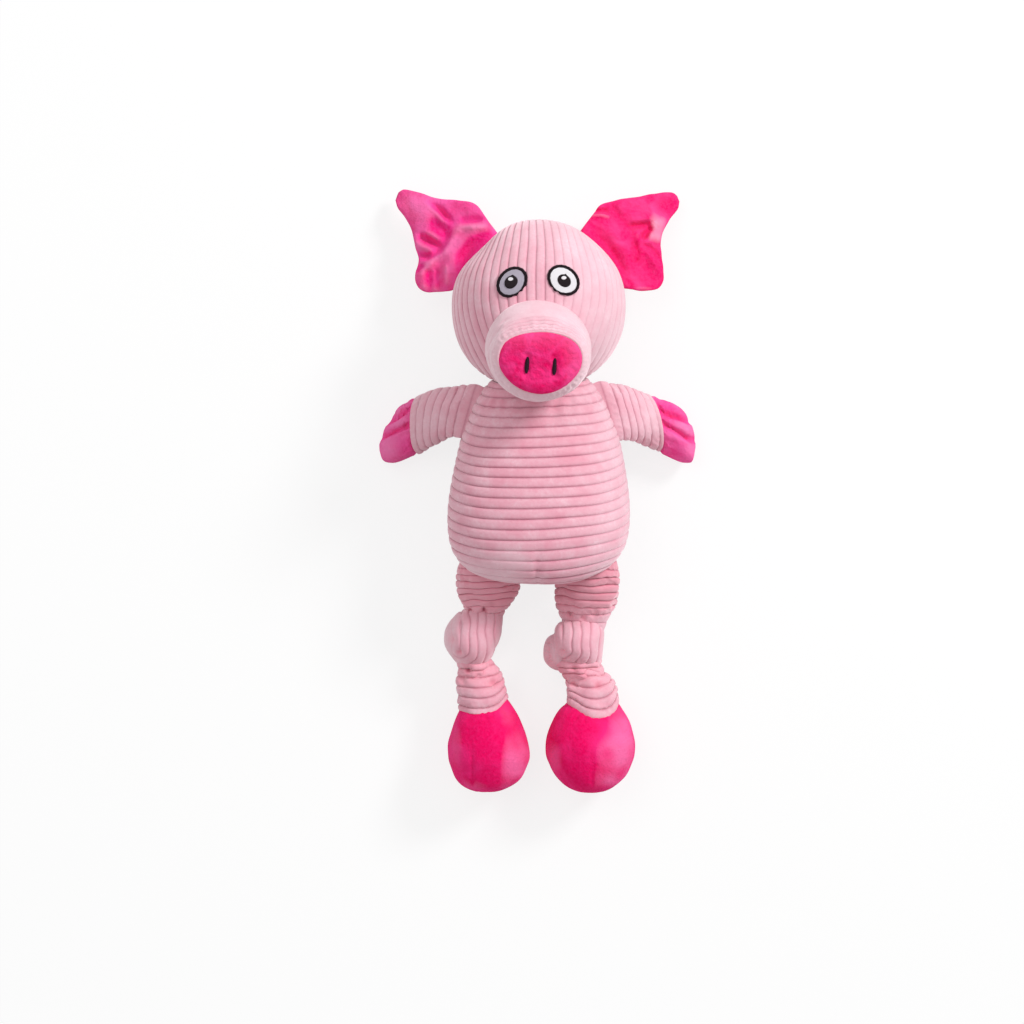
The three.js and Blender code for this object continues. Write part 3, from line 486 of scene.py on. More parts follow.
# a copy of the white thread in painted shade, for the eye further from the lamp
shaded_thread = satin("rayon_thread_white_shaded", "#b5adbb", "#968c9d", 0.4)
black_thread = satin("rayon_thread_black", "#180912", "#0a0307", 0.12)
plum_thread = satin("rayon_thread_plum", "#2b0f22", "#12060f", 0.15)

# %% [markdown]
# ## Body
# The body is an egg-shaped bag of two panels, fuller below than above. The wales run across it and sag at
# the front, most below the belly, because the panels were cut slanted. The rows of the grid follow the
# wales: they are spaced by the length of cloth down the middle of the belly, and each ring leans with the
# slant.

# %% Body
TORSO_BOTTOM, TORSO_LENGTH = -47.6, 110.1
TORSO_SEAM = 37.6  # height of the side seam
# share of the length, half width, half depth, how much lower the front hangs for its height over the seam
TORSO = [
    (0, 7, 4.5, 0.31), (0.012, 16.5, 10.5, 0.31), (0.03, 25.5, 17, 0.31), (0.055, 33.6, 23.2, 0.305),
    (0.085, 40, 27.6, 0.305), (0.135, 45, 32, 0.3), (0.18, 47.6, 34.6, 0.295), (0.256, 49.4, 37, 0.285),
    (0.331, 49.7, 38, 0.28), (0.407, 49, 37.9, 0.27), (0.483, 47.6, 37.1, 0.26), (0.559, 46, 35.4, 0.25),
    (0.635, 44.3, 33.2, 0.235), (0.695, 42.8, 31.3, 0.225), (0.785, 39.4, 28.2, 0.21),
    (0.862, 36.2, 25.6, 0.195), (0.937, 31.8, 22.4, 0.18), (0.991, 26.6, 18.2, 0.165), (1, 24.6, 17.1, 0.16),
]
TORSO_SKEW = 0.03  # and its left end is this much higher
TORSO_RISE = 2.0  # and its middle line climbs this much towards the neck
TORSO_ROUNDNESS = 2.3
TORSO_COLUMNS = 216


def torso_form(share, columns):
    """Oval sections up the body, each leaning by the slant and the skew."""
    width, depth, slant = smooth(TORSO, share).T
    zero = np.zeros_like(share)
    height = TORSO_SEAM + TORSO_RISE * (share - 0.35)
    centre = np.stack([zero, TORSO_BOTTOM + share * TORSO_LENGTH, height], -1)
    points = sections(centre, np.stack([width, zero, zero], -1), np.stack([zero, zero, depth], -1),
                      columns, TORSO_ROUNDNESS)
    points[..., 1] -= slant[:, None] * (points[..., 2] - TORSO_SEAM)
    points[..., 1] += TORSO_SKEW * points[..., 0]
    return points


def torso_rows():
    """Shares of the body's length at the wanted counts of wales, by the cloth's length down its front."""
    share = np.linspace(0, 1, 600) ** 1.5
    quarter = 18
    length = along_curve(torso_form(share, 4 * quarter)[:, quarter])
    counts = wale_rows(0.5, 0.5 + length[-1] / WALE)
    return np.interp((counts - 0.5) * WALE, length, share), counts


torso_share, torso_wales = torso_rows()
print(f"{torso_wales[-1]:.1f} wales on the body")

# %% [markdown]
# ## Head
# The head is a ball of two panels: a face, and a back sewn to it behind the ears. On the face the wales run
# up and down. They are straight over the nose and bow outwards at the cheeks. Planes that all pass through
# one upright line behind the head cut it in just such curves, so the rows of the grid are those cuts. At the
# chin the panel is gathered, so the curves are drawn together there.

# %% Head
HEAD_AT = np.array([-0.4, 102.5, 45.9])
HEAD_HALF_WIDTH, HEAD_RADIUS = 47.8, 46.7
HEAD_ROUNDNESS = 2.2
HEAD_SEAM = -16.5  # the seam is this far in front of the middle of the head, so it is behind it
FAN_LINE, FAR_LINE = 68.0, 4000.0  # how far the upright line is behind the face, and before the back
FACE_WALE = 5.2  # the face's cloth is less stretched across
FACE_WALE_HEIGHT = 0.85
CHIN_GATHER = 0.42  # how much narrower the face panel is at the chin
FACE_WANDER = 0.35  # how far a wale strays from its line


def on_head(direction, above=0.0):
    """The point of the head in a direction from its middle. The head is a ball turned about the line
    between the ears, with |x/half width|^n + |r/radius|^n = 1, where n is the roundness."""
    x = np.abs(direction[..., 0]) / HEAD_HALF_WIDTH
    r = np.hypot(direction[..., 1], direction[..., 2]) / HEAD_RADIUS
    far = (x ** HEAD_ROUNDNESS + r ** HEAD_ROUNDNESS) ** (-1 / HEAD_ROUNDNESS)
    size = np.linalg.norm(direction, axis=-1)
    return HEAD_AT + direction * (far + above / size)[..., None]


def out_of_head(points, clear=0.8):
    """Moves points that are inside the head, or less than clear over it, straight out."""
    off = points - HEAD_AT
    x = np.abs(off[..., 0]) / (HEAD_HALF_WIDTH + clear)
    r = np.hypot(off[..., 1], off[..., 2]) / (HEAD_RADIUS + clear)
    inside = np.maximum((x ** HEAD_ROUNDNESS + r ** HEAD_ROUNDNESS) ** (1 / HEAD_ROUNDNESS), 1e-6)
    return HEAD_AT + off / np.minimum(inside, 1)[..., None]


def head_panel(seam, line, counts, middle, shares, front):
    """Rows where planes through the upright line meet the ball in front of the seam, from the seam below
    the chin to the seam above the crown. The line is at z = -line. A plane at the angle a to the middle
    cuts a circle about (line·sin a·cos a, -line·sin² a) with the radius root(R² - (line·sin a)²)."""
    phi = ((counts - middle) * FACE_WALE / HEAD_RADIUS)[:, None]
    a = np.arctan2(HEAD_RADIUS * np.sin(phi), HEAD_RADIUS * np.cos(phi) + line)
    size = np.sqrt(np.maximum(HEAD_RADIUS ** 2 - (line * np.sin(a)) ** 2, 0))
    most = np.arccos(np.clip((seam + line * np.sin(a) ** 2) / np.maximum(size * np.cos(a), 1e-6), -1, 1))
    turn = most * shares
    x = line * np.sin(a) * np.cos(a) + size * np.cos(turn) * np.sin(a)
    z = -line * np.sin(a) ** 2 + size * np.cos(turn) * np.cos(a)
    y = size * np.sin(turn) + 0 * a
    if front > 0:
        x = x * (1 - CHIN_GATHER * ease(-y, -4, 40) * ease(z - seam, 0, 26))
    points = np.stack([x, y, z * front], -1)
    points[..., 0] += uneven(points, 37, FACE_WANDER)
    return points


EAR_PULL = {"right": 5.1, "left": 2.7}  # how deep an ear draws the head in
EAR_ANGLE, EAR_SPREAD = 0.8, 0.4  # radians from the crown, and half of what is drawn in


def ear_pull(x, y):
    """The head is drawn in where an ear is sewn on: a bell of the angle from the crown, times the cube of
    the share of the radius."""
    angle = np.arctan2(np.abs(x), y)
    deepest = np.where(x < 0, EAR_PULL["right"], EAR_PULL["left"])
    return deepest * bell(angle - EAR_ANGLE, EAR_SPREAD) * np.clip(np.hypot(x, y) / HEAD_RADIUS, 0, 1) ** 3


CROWDING = 0.93  # how much closer the columns stand at the seam, where it turns in
PUCKERS = 46
SEAM_DIP, SEAM_HALF = 1.7, 2.4  # how deep the head's seam lies and how broad its dip is
LID = np.array([0.08, 0.5, 0.92])[None, :, None]  # where the lid's points stand from seam to seam


def build_head_panel(front, line, columns):
    """One panel of the head, closed inside by a lid just within its own half."""
    seam = HEAD_SEAM * front
    half = math.acos(seam / HEAD_RADIUS) * HEAD_RADIUS / FACE_WALE
    counts = wale_rows(0.0, 2 * half)
    shares = np.sin(np.linspace(-1, 1, columns) * np.pi / 2 * CROWDING) / math.sin(np.pi / 2 * CROWDING)
    direction = head_panel(seam, line, counts, half, shares, front)
    surface = on_head(direction)
    unit = direction / np.linalg.norm(direction, axis=-1, keepdims=True)
    x, y, z = np.moveaxis(surface - HEAD_AT, -1, 0)
    from_seam = np.abs(z - HEAD_SEAM)
    ends = (ease(counts, 0, 1.5) * ease(2 * half - counts, 0, 1.5))[:, None]
    # faint grows towards the lamp's side and low on it: partly stretched cloth, partly painted light, as the
    # colour gets paler there
    faint = 0.25 + 0.55 * ease(x, -4, 24) + 0.2 * ease(-y, 10, 30) * (x > 0)
    faint = np.clip(faint, 0, 0.85) * (front > 0)
    relief = wale_relief(counts)[:, None] * FACE_WALE_HEIGHT * ends * ease(from_seam, 0.5, 4.0)
    relief = relief * (1 - 0.7 * faint)
    pucker = 1 + 0.35 * np.sin(np.arctan2(y, x) * PUCKERS)
    relief = (relief - SEAM_DIP * bell(from_seam, SEAM_HALF) * pucker + uneven(surface, 60, 0.35)
              - ear_pull(x, y))
    surface = surface + unit * relief[..., None]
    top, bottom = surface[:, -1:], surface[:, :1]
    lid = top + (bottom - top) * LID
    lid[..., 2] += 1.5 * front
    faint = np.concatenate([faint, 0 * lid[..., 0]], 1)
    return lie(np.concatenate([surface, lid], 1)), counts[:, None], faint


face_points, face_wales, face_faint = build_head_panel(1, FAN_LINE, 120)
face = piece("face", face_points, pale, "pale_corduroy", wales=face_wales, faint=face_faint)
back_points, back_wales, back_faint = build_head_panel(-1, FAR_LINE, 80)
back = piece("back_of_head", back_points, pale, "pale_corduroy", wales=back_wales, faint=back_faint)
for made, nodes in ((face, ("face_panel", "head_filling")), (back, ("back_of_head_panel",))):
    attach(made, "head")
    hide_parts(*nodes)

# %% [markdown]
# With the head's form known, the top of the body can be hollowed to the head that sits in it. It is closed
# by a cup that follows the head, so that the head can nod in it. The body also gets its wales, the dip of
# its side seams, and the short dart at the bottom of the front panel.

# %% Body, finished
BODY_WANDER = 0.28
SIDE_SEAM_DIP, DART_DIP = 0.7, 0.9
BODY_PLUMPED = 1.6  # the most that the simulation moves the body
CUP = np.array([0.12, 0.3, 0.5, 0.7, 0.85, 0.95])[:, None, None]  # rows that close the top under the head


def body_relief(points, counts, faint):
    """Wales, less the dips of the side seams and of the dart."""
    x, y, z = np.moveaxis(points, -1, 0)
    ends = ease(counts, 0.3, 2.2)[:, None]
    seam = bell(z - TORSO_SEAM, 1.6) * ease(np.abs(x), 8, 16)
    dart = bell(x + 0.8, 1.1) * ease(y, -52, -46) * ease(-y, 27, 36) * (z > TORSO_SEAM)
    relief = wale_relief(counts)[:, None] * WALE_HEIGHT * ends * (1 - 0.6 * seam) * (1 - 0.6 * faint)
    return relief - SIDE_SEAM_DIP * seam - DART_DIP * dart


torso_points = torso_form(torso_share, TORSO_COLUMNS)
torso_points += plump(torso_form, torso_share, TORSO_COLUMNS, lambda s: ease(s, 0.86, 0.95), BODY_PLUMPED)
torso_points[..., 1] += uneven(torso_points, 41, BODY_WANDER)
x, y, z = np.moveaxis(torso_points, -1, 0)
low_corner = ease(-y - 0.25 * np.abs(x + 6), 24, 36) * ease(-x, 0, 14)
# faint also rises on the side towards the lamp, which paints the colour paler there as painted light
torso_faint = np.clip(0.75 * low_corner + 0.5 * ease(x, 10, 44), 0, 0.8)
torso_points += normals(torso_points) * (
    body_relief(torso_points, torso_wales, torso_faint) + uneven(torso_points, 75, 0.5))[..., None]
rim = torso_points[-1:]
torso_points = np.concatenate([torso_points, rim + (rim.mean(1, keepdims=True) - rim) * CUP])
torso_wales, torso_faint = (np.concatenate([value, np.repeat(value[-1:], len(CUP), 0)])
                            for value in (torso_wales, torso_faint))
body = piece("body", lie(out_of_head(torso_points)), pale, "pale_corduroy",
             wales=torso_wales[:, None], faint=torso_faint)
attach(body, "torso")
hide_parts("body_front_panel", "body_back_panel", "body_filling")

# %% [markdown]
# ## Snout
# The snout is a short tapered cuff of the same corduroy. Its wales run round it, stretched nearly flat by
# the filling, and show as fine lines above the nose. The nose is an oval of plush, flatter above.

# %% Snout cuff
NOSE_AT = np.array([0.1, 67.9, 111.0])
SNOUT_TILT = math.radians(13)
FORWARD = np.array([0.0, -math.sin(SNOUT_TILT), math.cos(SNOUT_TILT)])
UPWARD = np.array([0.0, math.cos(SNOUT_TILT), math.sin(SNOUT_TILT)])
SIDEWAYS = np.array([1.0, 0.0, 0.0])
# distance behind the nose's rim, half width, half height, how far the middle is up, and to the left
SNOUT = np.array([
    (-46, 14, 13, 2, 1), (-36, 26, 24, 2.2, 1), (-27, 28.2, 26.6, 1.9, 1), (-19, 27.9, 25.6, 1.2, 0.8),
    (-12, 26.9, 23.6, 0.3, 0.5), (-6.5, 25.8, 21.2, -0.2, 0.3), (-2.6, 24.6, 19.2, -0.2, 0.1),
    (-0.6, 23.4, 18, 0, 0), (0.2, 22.4, 17, 0, 0), (-0.6, 21.2, 15.8, 0, 0), (-4, 20.2, 14.8, 0, 0),
])
SNOUT_WALE = 2.7  # the wales are stretched thin near the nose
SNOUT_COLUMNS = 152
SNOUT_GATHERS = 44


def closed_angle(columns):
    """The angles round a ring, from half a turn back to half a turn on."""
    angle = (np.arange(columns) + 0.5) / columns * 2 * np.pi
    return np.where(angle > np.pi, angle - 2 * np.pi, angle)


def nose_outline(angle):
    """How far the nose's rim is out at an angle, as a share: full at the upper corners, flat above and
    drawn down below."""
    return (1 - 0.06 * bell(angle - np.pi / 2, 0.7) + 0.045 * bell(np.abs(angle - np.pi / 2) - 0.95, 0.4)
            + 0.05 * bell(angle + np.pi / 2, 0.6) - 0.03 * bell(np.abs(angle + np.pi / 2) - 0.9, 0.4))


def snout_form(row, columns):
    """Rings square to the snout's line, with the nose's outline near the rim and ovals further back."""
    at = along_curve(SNOUT[:, :3])
    away, half_width, half_height, up, left = smooth(np.column_stack([at / at[-1], SNOUT]), row).T
    angle = closed_angle(columns)
    share = 1 + (nose_outline(angle)[None] - 1) * ease(away, -16, 0)[:, None]
    centre = NOSE_AT + away[:, None] * FORWARD - left[:, None] * SIDEWAYS + up[:, None] * UPWARD
    return (centre[:, None]
            + SIDEWAYS * (half_width[:, None] * np.cos(angle) * share)[..., None]
            + UPWARD * (half_height[:, None] * np.sin(angle) * share)[..., None])


row = np.concatenate([np.linspace(0, 0.5, 40), np.linspace(0.5, 0.93, 110)[1:],
                      np.linspace(0.93, 1, 14)[1:]])
snout_points = snout_form(row, SNOUT_COLUMNS)
snout_points += plump(snout_form, row, SNOUT_COLUMNS,
                      lambda r: 1 - ease(r, 0.3, 0.4) * ease(-r, -0.86, -0.78), 0.8)
behind = ((snout_points - NOSE_AT) @ FORWARD).mean(1)
rim = int(np.argmax(behind))
snout_length = along_curve(snout_points[:, SNOUT_COLUMNS // 4])
snout_wales = (snout_length - snout_length[rim]) / SNOUT_WALE + 0.3
upper = bell(closed_angle(SNOUT_COLUMNS) - np.pi / 2, 0.75)
lines = ease(behind, -11, -8) * (np.arange(len(row)) < rim)
snout_faint = 1 - 0.55 * lines[:, None] * upper[None]
snout_normals = normals(snout_points)
snout_normals[rim:] = snout_normals[rim - 1:rim]
gathers = 0.3 * np.cos(closed_angle(SNOUT_COLUMNS) * SNOUT_GATHERS) * bell(behind + 2.5, 2.2)[:, None]
snout_relief = wale_relief(snout_wales)[:, None] * (1 - snout_faint) + gathers
snout_points = snout_points + snout_normals * (snout_relief + uneven(snout_points, 38, 0.3))[..., None]
snout = piece("snout_cuff", snout_points, pale, "pale_corduroy",
              wales=snout_wales[:, None], faint=snout_faint)
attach(snout, "head")
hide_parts("snout_band", "snout_filling")

# %% [markdown]
# The nose bulges a few millimetres out of its seam. Each nostril is a bar of satin stitch that pulls the
# plush in round it.

# %% Nose and nostrils
# share of the way from the rim to the middle, distance in front of the rim
NOSE = [(0, -3.5), (0.02, -1.4), (0.05, 0.2), (0.12, 1.5), (0.28, 2.7), (0.6, 3.4), (1, 3.5)]
NOSE_HALF = (22.9, 17.4)
NOSTRILS = {"right": (-7.1, -1.6, 9, -0.09), "left": (7.4, -2.4, 9.2, -0.06)}  # x, y, length, lean
NOSTRIL_WIDTH = 2.2
NOSTRIL_DIP, NOSTRIL_DIP_HALF = 1.3, 2.1
NOSTRIL_OUT, NOSTRIL_THICK = 2.3, 0.95  # the bar's middle before the rim, and half its thickness


def nose_grid(rows, columns):
    """Rings from the rim to the middle, that rise as the table says. Returns each point's place on the
    nose, across and up, and its rise."""
    share = np.linspace(0, 0.99, rows) ** 1.25
    rise = smooth(NOSE, share)
    angle = closed_angle(columns)
    rim_share = 1 + (nose_outline(angle)[None] - 1) * (1 - share)[:, None]
    x = NOSE_HALF[0] * np.cos(angle) * (1 - share)[:, None] * rim_share
    y = NOSE_HALF[1] * np.sin(angle) * (1 - share)[:, None] * rim_share
    rise = rise + 0 * x
    for u, v, length, lean in NOSTRILS.values():
        along_it = np.clip(y - v, -length / 2, length / 2)
        off = np.hypot(x - u + lean * along_it, y - v - along_it)
        rise = rise - NOSTRIL_DIP * bell(off, NOSTRIL_DIP_HALF)
    return x, y, rise


x, y, rise = nose_grid(72, 150)
nose_points = NOSE_AT + SIDEWAYS * x[..., None] + UPWARD * y[..., None] + FORWARD * rise[..., None]
nose_points += FORWARD * (uneven(nose_points, 15, 0.3) + uneven(nose_points, 3.1, 0.1))[..., None]
# painted light and shade: paler at the top and towards the lamp's side, deeper below the middle
nose_sheen_and_shade = 0.3 * ease(y, 2, 15) + 0.35 * ease(x, 8, 20) - 0.5 * bell(np.hypot(x + 2, y + 9), 9)
nose = piece("nose", nose_points, nose_plush, "bright_plush", rubbed=nose_sheen_and_shade)
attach(nose, "head")
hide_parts("snout_disc")

for side, (u, v, length, lean) in NOSTRILS.items():
    t = np.linspace(-1, 1, 40)
    bar_half = np.sqrt(np.maximum(1 - np.abs(t) ** 3, 0.002))
    middle = (NOSE_AT + SIDEWAYS * (u - lean * t * length / 2)[:, None]
              + UPWARD * (v + t * length / 2)[:, None] + FORWARD * NOSTRIL_OUT)
    ridges = 1 + 0.09 * np.cos(t * length / 2 / THREAD * 2 * np.pi)
    bar_points = sections(middle, SIDEWAYS * (bar_half * NOSTRIL_WIDTH / 2 * ridges)[:, None],
                          FORWARD * (bar_half * NOSTRIL_THICK * ridges)[:, None], 20)
    nostril = piece(f"nostril_stitch_{side}", bar_points, plum_thread, "black_thread",
                    thread=(t * length / 2 / THREAD)[:, None])
    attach(nostril, "head")
    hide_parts(f"nostril_{side}")

# %% [markdown]
# ## Eyes
# Each eye is embroidered: an oval of white satin stitch, a black outline over its edge, a pupil and a small
# glint. The ovals lean outward at the bottom. The outline is bold above and worn below, where the wales
# under it break it up.

# %% Eyes
EYE = {
    # the right eye's white is the shaded copy of the white thread: painted shade
    "right": dict(at=(-14.4, 8.8), half=(9.2, 7.4), axis=0.82, worn=-0.95, pupil=(-0.4, -0.1),
                  glint=(-0.1, 1.5), fill=shaded_thread),
    "left": dict(at=(12.9, 9.8), half=(9.3, 7.7), axis=2.45, worn=-2.2, pupil=(0.3, -0.4),
                 glint=(-0.3, 1.4), fill=white_thread),
}


def on_face(x, y, above):
    """Points over the face at a place seen from in front, lifted off it."""
    x_share = np.clip(np.abs(x) / HEAD_HALF_WIDTH, 0, 0.999)
    around = HEAD_RADIUS * (1 - x_share ** HEAD_ROUNDNESS) ** (1 / HEAD_ROUNDNESS)
    off = np.stack([x, y, np.sqrt(np.maximum(around ** 2 - y ** 2, 1))], -1)
    return HEAD_AT + off * (1 + above / np.linalg.norm(off, axis=-1))[..., None]


def embroider(name, at, outer, profile, material, slot, node, thread, inner=None):
    """A patch of stitches. Its section goes from the middle, or from an inner edge, to its rim along the
    profile: share of the way out, and height over the cloth."""
    angle = closed_angle(96)
    share, height = smooth(profile, np.linspace(0, 1, 30)).T
    start = 0 * angle if inner is None else inner(angle)
    out = start + (outer(angle) - start) * share[:, None]
    x, y = out * np.cos(angle), out * np.sin(angle)
    points = on_face(at[0] + x, at[1] + y, height[:, None] + 0 * x)
    made = piece(name, points, material, slot, thread=thread(x, y, angle + 0 * x))
    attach(made, "head")
    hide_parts(node)


def oval(half, axis, angle):
    """The radius of an ellipse at an angle, with its long half along the axis."""
    return 1 / np.hypot(np.cos(angle - axis) / half[0], np.sin(angle - axis) / half[1])


def patch(height):
    """A flat patch of stitches of a height, rounded down into the cloth at its rim."""
    return [(0, 0.02, height), (0.8, 0.9, height), (0.92, 1.0, 0.75 * height), (1, 0.985, -1.0)]


RING = [(0, 0, -1), (0.1, 0, 0.5), (0.25, 0.16, 0.95), (0.5, 0.5, 1.1), (0.75, 0.86, 0.9), (0.9, 1, 0.3),
        (1, 1, -1)]
RING_WIDTH, FILL_INSET = 1.75, 0.9  # the white goes under the middle of the outline
PUPIL_HALF, GLINT_HALF = (3.8, 3.2), (1.35, 0.95)
FILL_HEIGHT, PUPIL_HEIGHT, GLINT_HEIGHT = 0.6, 1.0, 1.35
across_it = lambda x, y, angle: x / THREAD
spread = lambda x, y, angle: angle / (2 * np.pi) * 84
for side, eye in EYE.items():
    at, half, axis = np.array(eye["at"]), np.array(eye["half"]), eye["axis"]
    below = lambda angle, width, eye=eye: bell(np.angle(np.exp(1j * (angle - eye["worn"]))), width)
    outer = lambda angle: (oval(half, axis, angle) + 0.08 * np.sin(angle * 23)
                           - below(angle, 0.7) * (0.55 + 0.4 * np.sin(angle * 12 + 0.6)))
    inner = lambda angle: (oval(half - RING_WIDTH, axis, angle) + 0.5 * below(angle, 0.7)
                           + 0.06 * np.sin(angle * 17))
    embroider(f"eye_fill_{side}", at, lambda angle: oval(half - FILL_INSET, axis, angle),
              patch(FILL_HEIGHT), eye["fill"], "white_thread", f"eye_white_{side}", across_it)
    embroider(f"eye_ring_{side}", at, outer, RING, black_thread, "black_thread",
              f"eye_outline_{side}", spread, inner)
    centre = at + eye["pupil"]
    embroider(f"pupil_{side}", centre,
              lambda angle: oval(PUPIL_HALF, axis, angle) + 0.5 * bell(angle - 1.35, 0.16),
              patch(PUPIL_HEIGHT), black_thread, "black_thread", f"eye_pupil_{side}", across_it)
    embroider(f"glint_{side}", centre + eye["glint"], lambda angle: oval(GLINT_HALF, 0.1, angle),
              patch(GLINT_HEIGHT), white_thread, "white_thread", f"eye_glint_{side}", across_it)

# %% [markdown]
# ## Ears
# An ear is two layers of plush sewn together and turned, with nothing inside, so it lies crumpled. Its edge
# is given as two lines from the head to the tip. The grid spans them, and each fold is a ridge or a valley
# along a short line of its own: the height falls off with the distance from that line.

# %% Ears
EAR_THICKNESS = 3.6
EARS = {
    "right": dict(
        pile=0.12,  # how the whole ear is painted: paler, as painted light, above 0, deeper, as painted shade, below
        bright=0.75,  # how much painted highlight its ridges get, for each fold's own value
        upper=[(-22.5, 142.6), (-27.4, 149), (-32.6, 157.2), (-38, 161.6), (-47.9, 162.8), (-56.8, 163.8),
               (-64.1, 166.6), (-70.5, 168.6), (-75.6, 169.6), (-78.8, 168)],
        lower=[(-46, 112.6), (-49, 111), (-56.8, 110.2), (-62.6, 110.6), (-66.6, 112.8), (-68.9, 117.4),
               (-68.8, 121.8), (-67.3, 126), (-67.6, 131), (-69.2, 138), (-70.9, 144.6), (-72.3, 149.4),
               (-75.6, 154.6), (-79.4, 159.5), (-80.4, 163.6)],
        # line of the fold, height, half width, its painted highlight above 0 and painted shade below 0
        folds=[
            ([(-77, 165), (-68, 158.5), (-60, 151)], 3, 6.5, 0.2),
            ([(-60.5, 160.5), (-54.7, 156.5), (-50.6, 151.8), (-48, 148.6)], -2.6, 1.9, -0.5),
            ([(-62, 160), (-57.1, 155.8), (-53.4, 151), (-47.4, 148.4)], 1.5, 1.6, 0.4),
            ([(-57, 148.5), (-52, 144.8)], -1.5, 3, -0.4),
            ([(-46.6, 144.4), (-43, 146.6), (-36, 146.8), (-28, 146.6)], 2.6, 2.2, 0.55),
            ([(-44, 150.2), (-37, 150.6), (-31, 150.8)], -2, 2, -0.3),
            ([(-64.4, 142.2), (-61, 139.4), (-56.8, 137)], -2.5, 2.1, -0.5),
            ([(-66, 144.6), (-60, 143), (-55.4, 139.6)], 1.5, 1.6, 0.35),
            ([(-68, 138), (-64, 136), (-60, 133.8)], 2, 2.2, 0.3),
            ([(-67, 131.4), (-62, 130.6), (-59.5, 131.4), (-54.9, 133.7), (-52, 138), (-49.4, 143)],
             -2.8, 1.9, -0.6),
            ([(-46.4, 144), (-50, 139), (-52.8, 134), (-59.2, 128.4), (-64.6, 122.8), (-66.2, 118.6)],
             3, 2.4, 0.5),
            ([(-49.6, 120), (-48.2, 131.5), (-43.4, 138), (-36, 142.6), (-26, 145)], 2.6, 4.2, 0.2),
            ([(-41, 121), (-40.6, 130), (-35, 136.5), (-27, 140.6)], -3.4, 3.6, -1),
            ([(-67.4, 123.6), (-65, 125.2)], -1.6, 1.2, -0.5),
            ([(-61.4, 121.5), (-60.4, 113)], -1.1, 1.8, -0.2),
            ([(-56.6, 122), (-56.2, 113.5)], -1.1, 1.3, -0.1),
            ([(-51.6, 124), (-51, 116)], 1.4, 1.4, 0.3),
            ([(-64, 113.6), (-57, 112)], 0.8, 2, 0.3),
        ]),
    "left": dict(
        pile=-0.3,
        bright=1.15,
        upper=[(21.6, 142.4), (26.4, 149), (31, 155.2), (34.1, 159.4), (39, 161.4), (47, 163.4),
               (58.2, 165.4), (68.6, 167.8), (74.6, 168.2), (78, 166)],
        lower=[(45.4, 112.6), (48, 112.4), (52, 111.8), (59, 111.2), (65.2, 112.2), (68.6, 115),
               (69.6, 119.5), (69.4, 127), (68.4, 134), (68, 138.6), (69.6, 144.6), (72.8, 151.4),
               (76, 155.6), (78.8, 159.6), (79.6, 163.2)],
        folds=[
            ([(32, 155.8), (37.6, 156.2)], -2.6, 1.3, -0.5),
            ([(29.4, 153.4), (34, 153.6), (39, 152.6)], 1.2, 1.5, 0.45),
            ([(38.4, 160.8), (41, 157.6), (42.4, 155), (45.4, 151), (49.4, 145.2)], -1.7, 2.8, -0.9),
            ([(49.6, 147.4), (55.9, 148.3), (62.4, 149.9)], -3, 1.7, -0.8),
            ([(50.4, 151), (58, 152), (66, 154)], 1.6, 2.4, 0.1),
            ([(64.5, 150.5), (69, 151.5)], 0.6, 3, 0.55),
            ([(64.5, 147.5), (68, 146.5)], 1, 3.2, 0.55),
            ([(63, 142.5), (66.4, 141.4)], 1.4, 3, 0.7),
            ([(55, 146), (54.7, 142.8), (56.7, 139.4), (61, 138.9)], 1.9, 2.3, 0.35),
            ([(61.8, 146.4), (60.2, 144.6), (58.8, 141.8)], -2.8, 1.6, -0.8),
            ([(56, 138.6), (61.6, 135.5), (66.4, 130.4), (68.6, 125.6)], -2.3, 1.8, -0.6),
            ([(56.6, 136), (61.8, 131.8), (65.6, 126.4), (67.4, 121)], 1.8, 2.3, 0.3),
            ([(53.5, 137.2), (54.3, 132.3), (53.9, 128.6)], -2, 1.6, -0.7),
            ([(36, 152.8), (42.6, 143.4), (47.6, 133.4), (50.3, 124.4)], 1.8, 4.4, 0.2),
            ([(27, 143), (35.5, 137.4), (42, 129.6), (46.4, 118)], -3, 3.4, -1),
            ([(70.5, 160.6), (72, 161.6)], -1.2, 3.6, -0.6),
            ([(62.5, 158.6), (65, 155)], 0.8, 2.4, 0.25),
            ([(52, 112.6), (65, 112.8)], 0.4, 1.6, 0.4),
        ]),
}
EAR_ROOT_HEIGHT = 31.5
EAR_DROOP = 0.46  # how much the ear falls for each millimetre out from the head
EAR_OUT = (0.814, 0.581)  # the way out of the head, to the side and up
EAR_FROM = 46.5  # where the ear leaves the head, from the head's middle
EAR_ROOT = 62  # the length that the reach below zero is a share of
EAR_LOWEST = 2.2  # the height over the table that a layer keeps
FOLD_TALL, FOLD_WIDE = 1.2, 1.1  # what every fold's height and width is multiplied by
LONG_FOLD = 10  # a longer fold fades at its ends, and a shorter one is a dent or a bump
EAR_RAGGED = 0.35  # how far the rim strays from its line


def line_at(points, shares):
    """Points along a line of points, at shares of its length, with its corners rounded."""
    points = np.array(points, float)
    at = along_curve(points)
    return smooth(np.column_stack([at / at[-1], points]), shares)


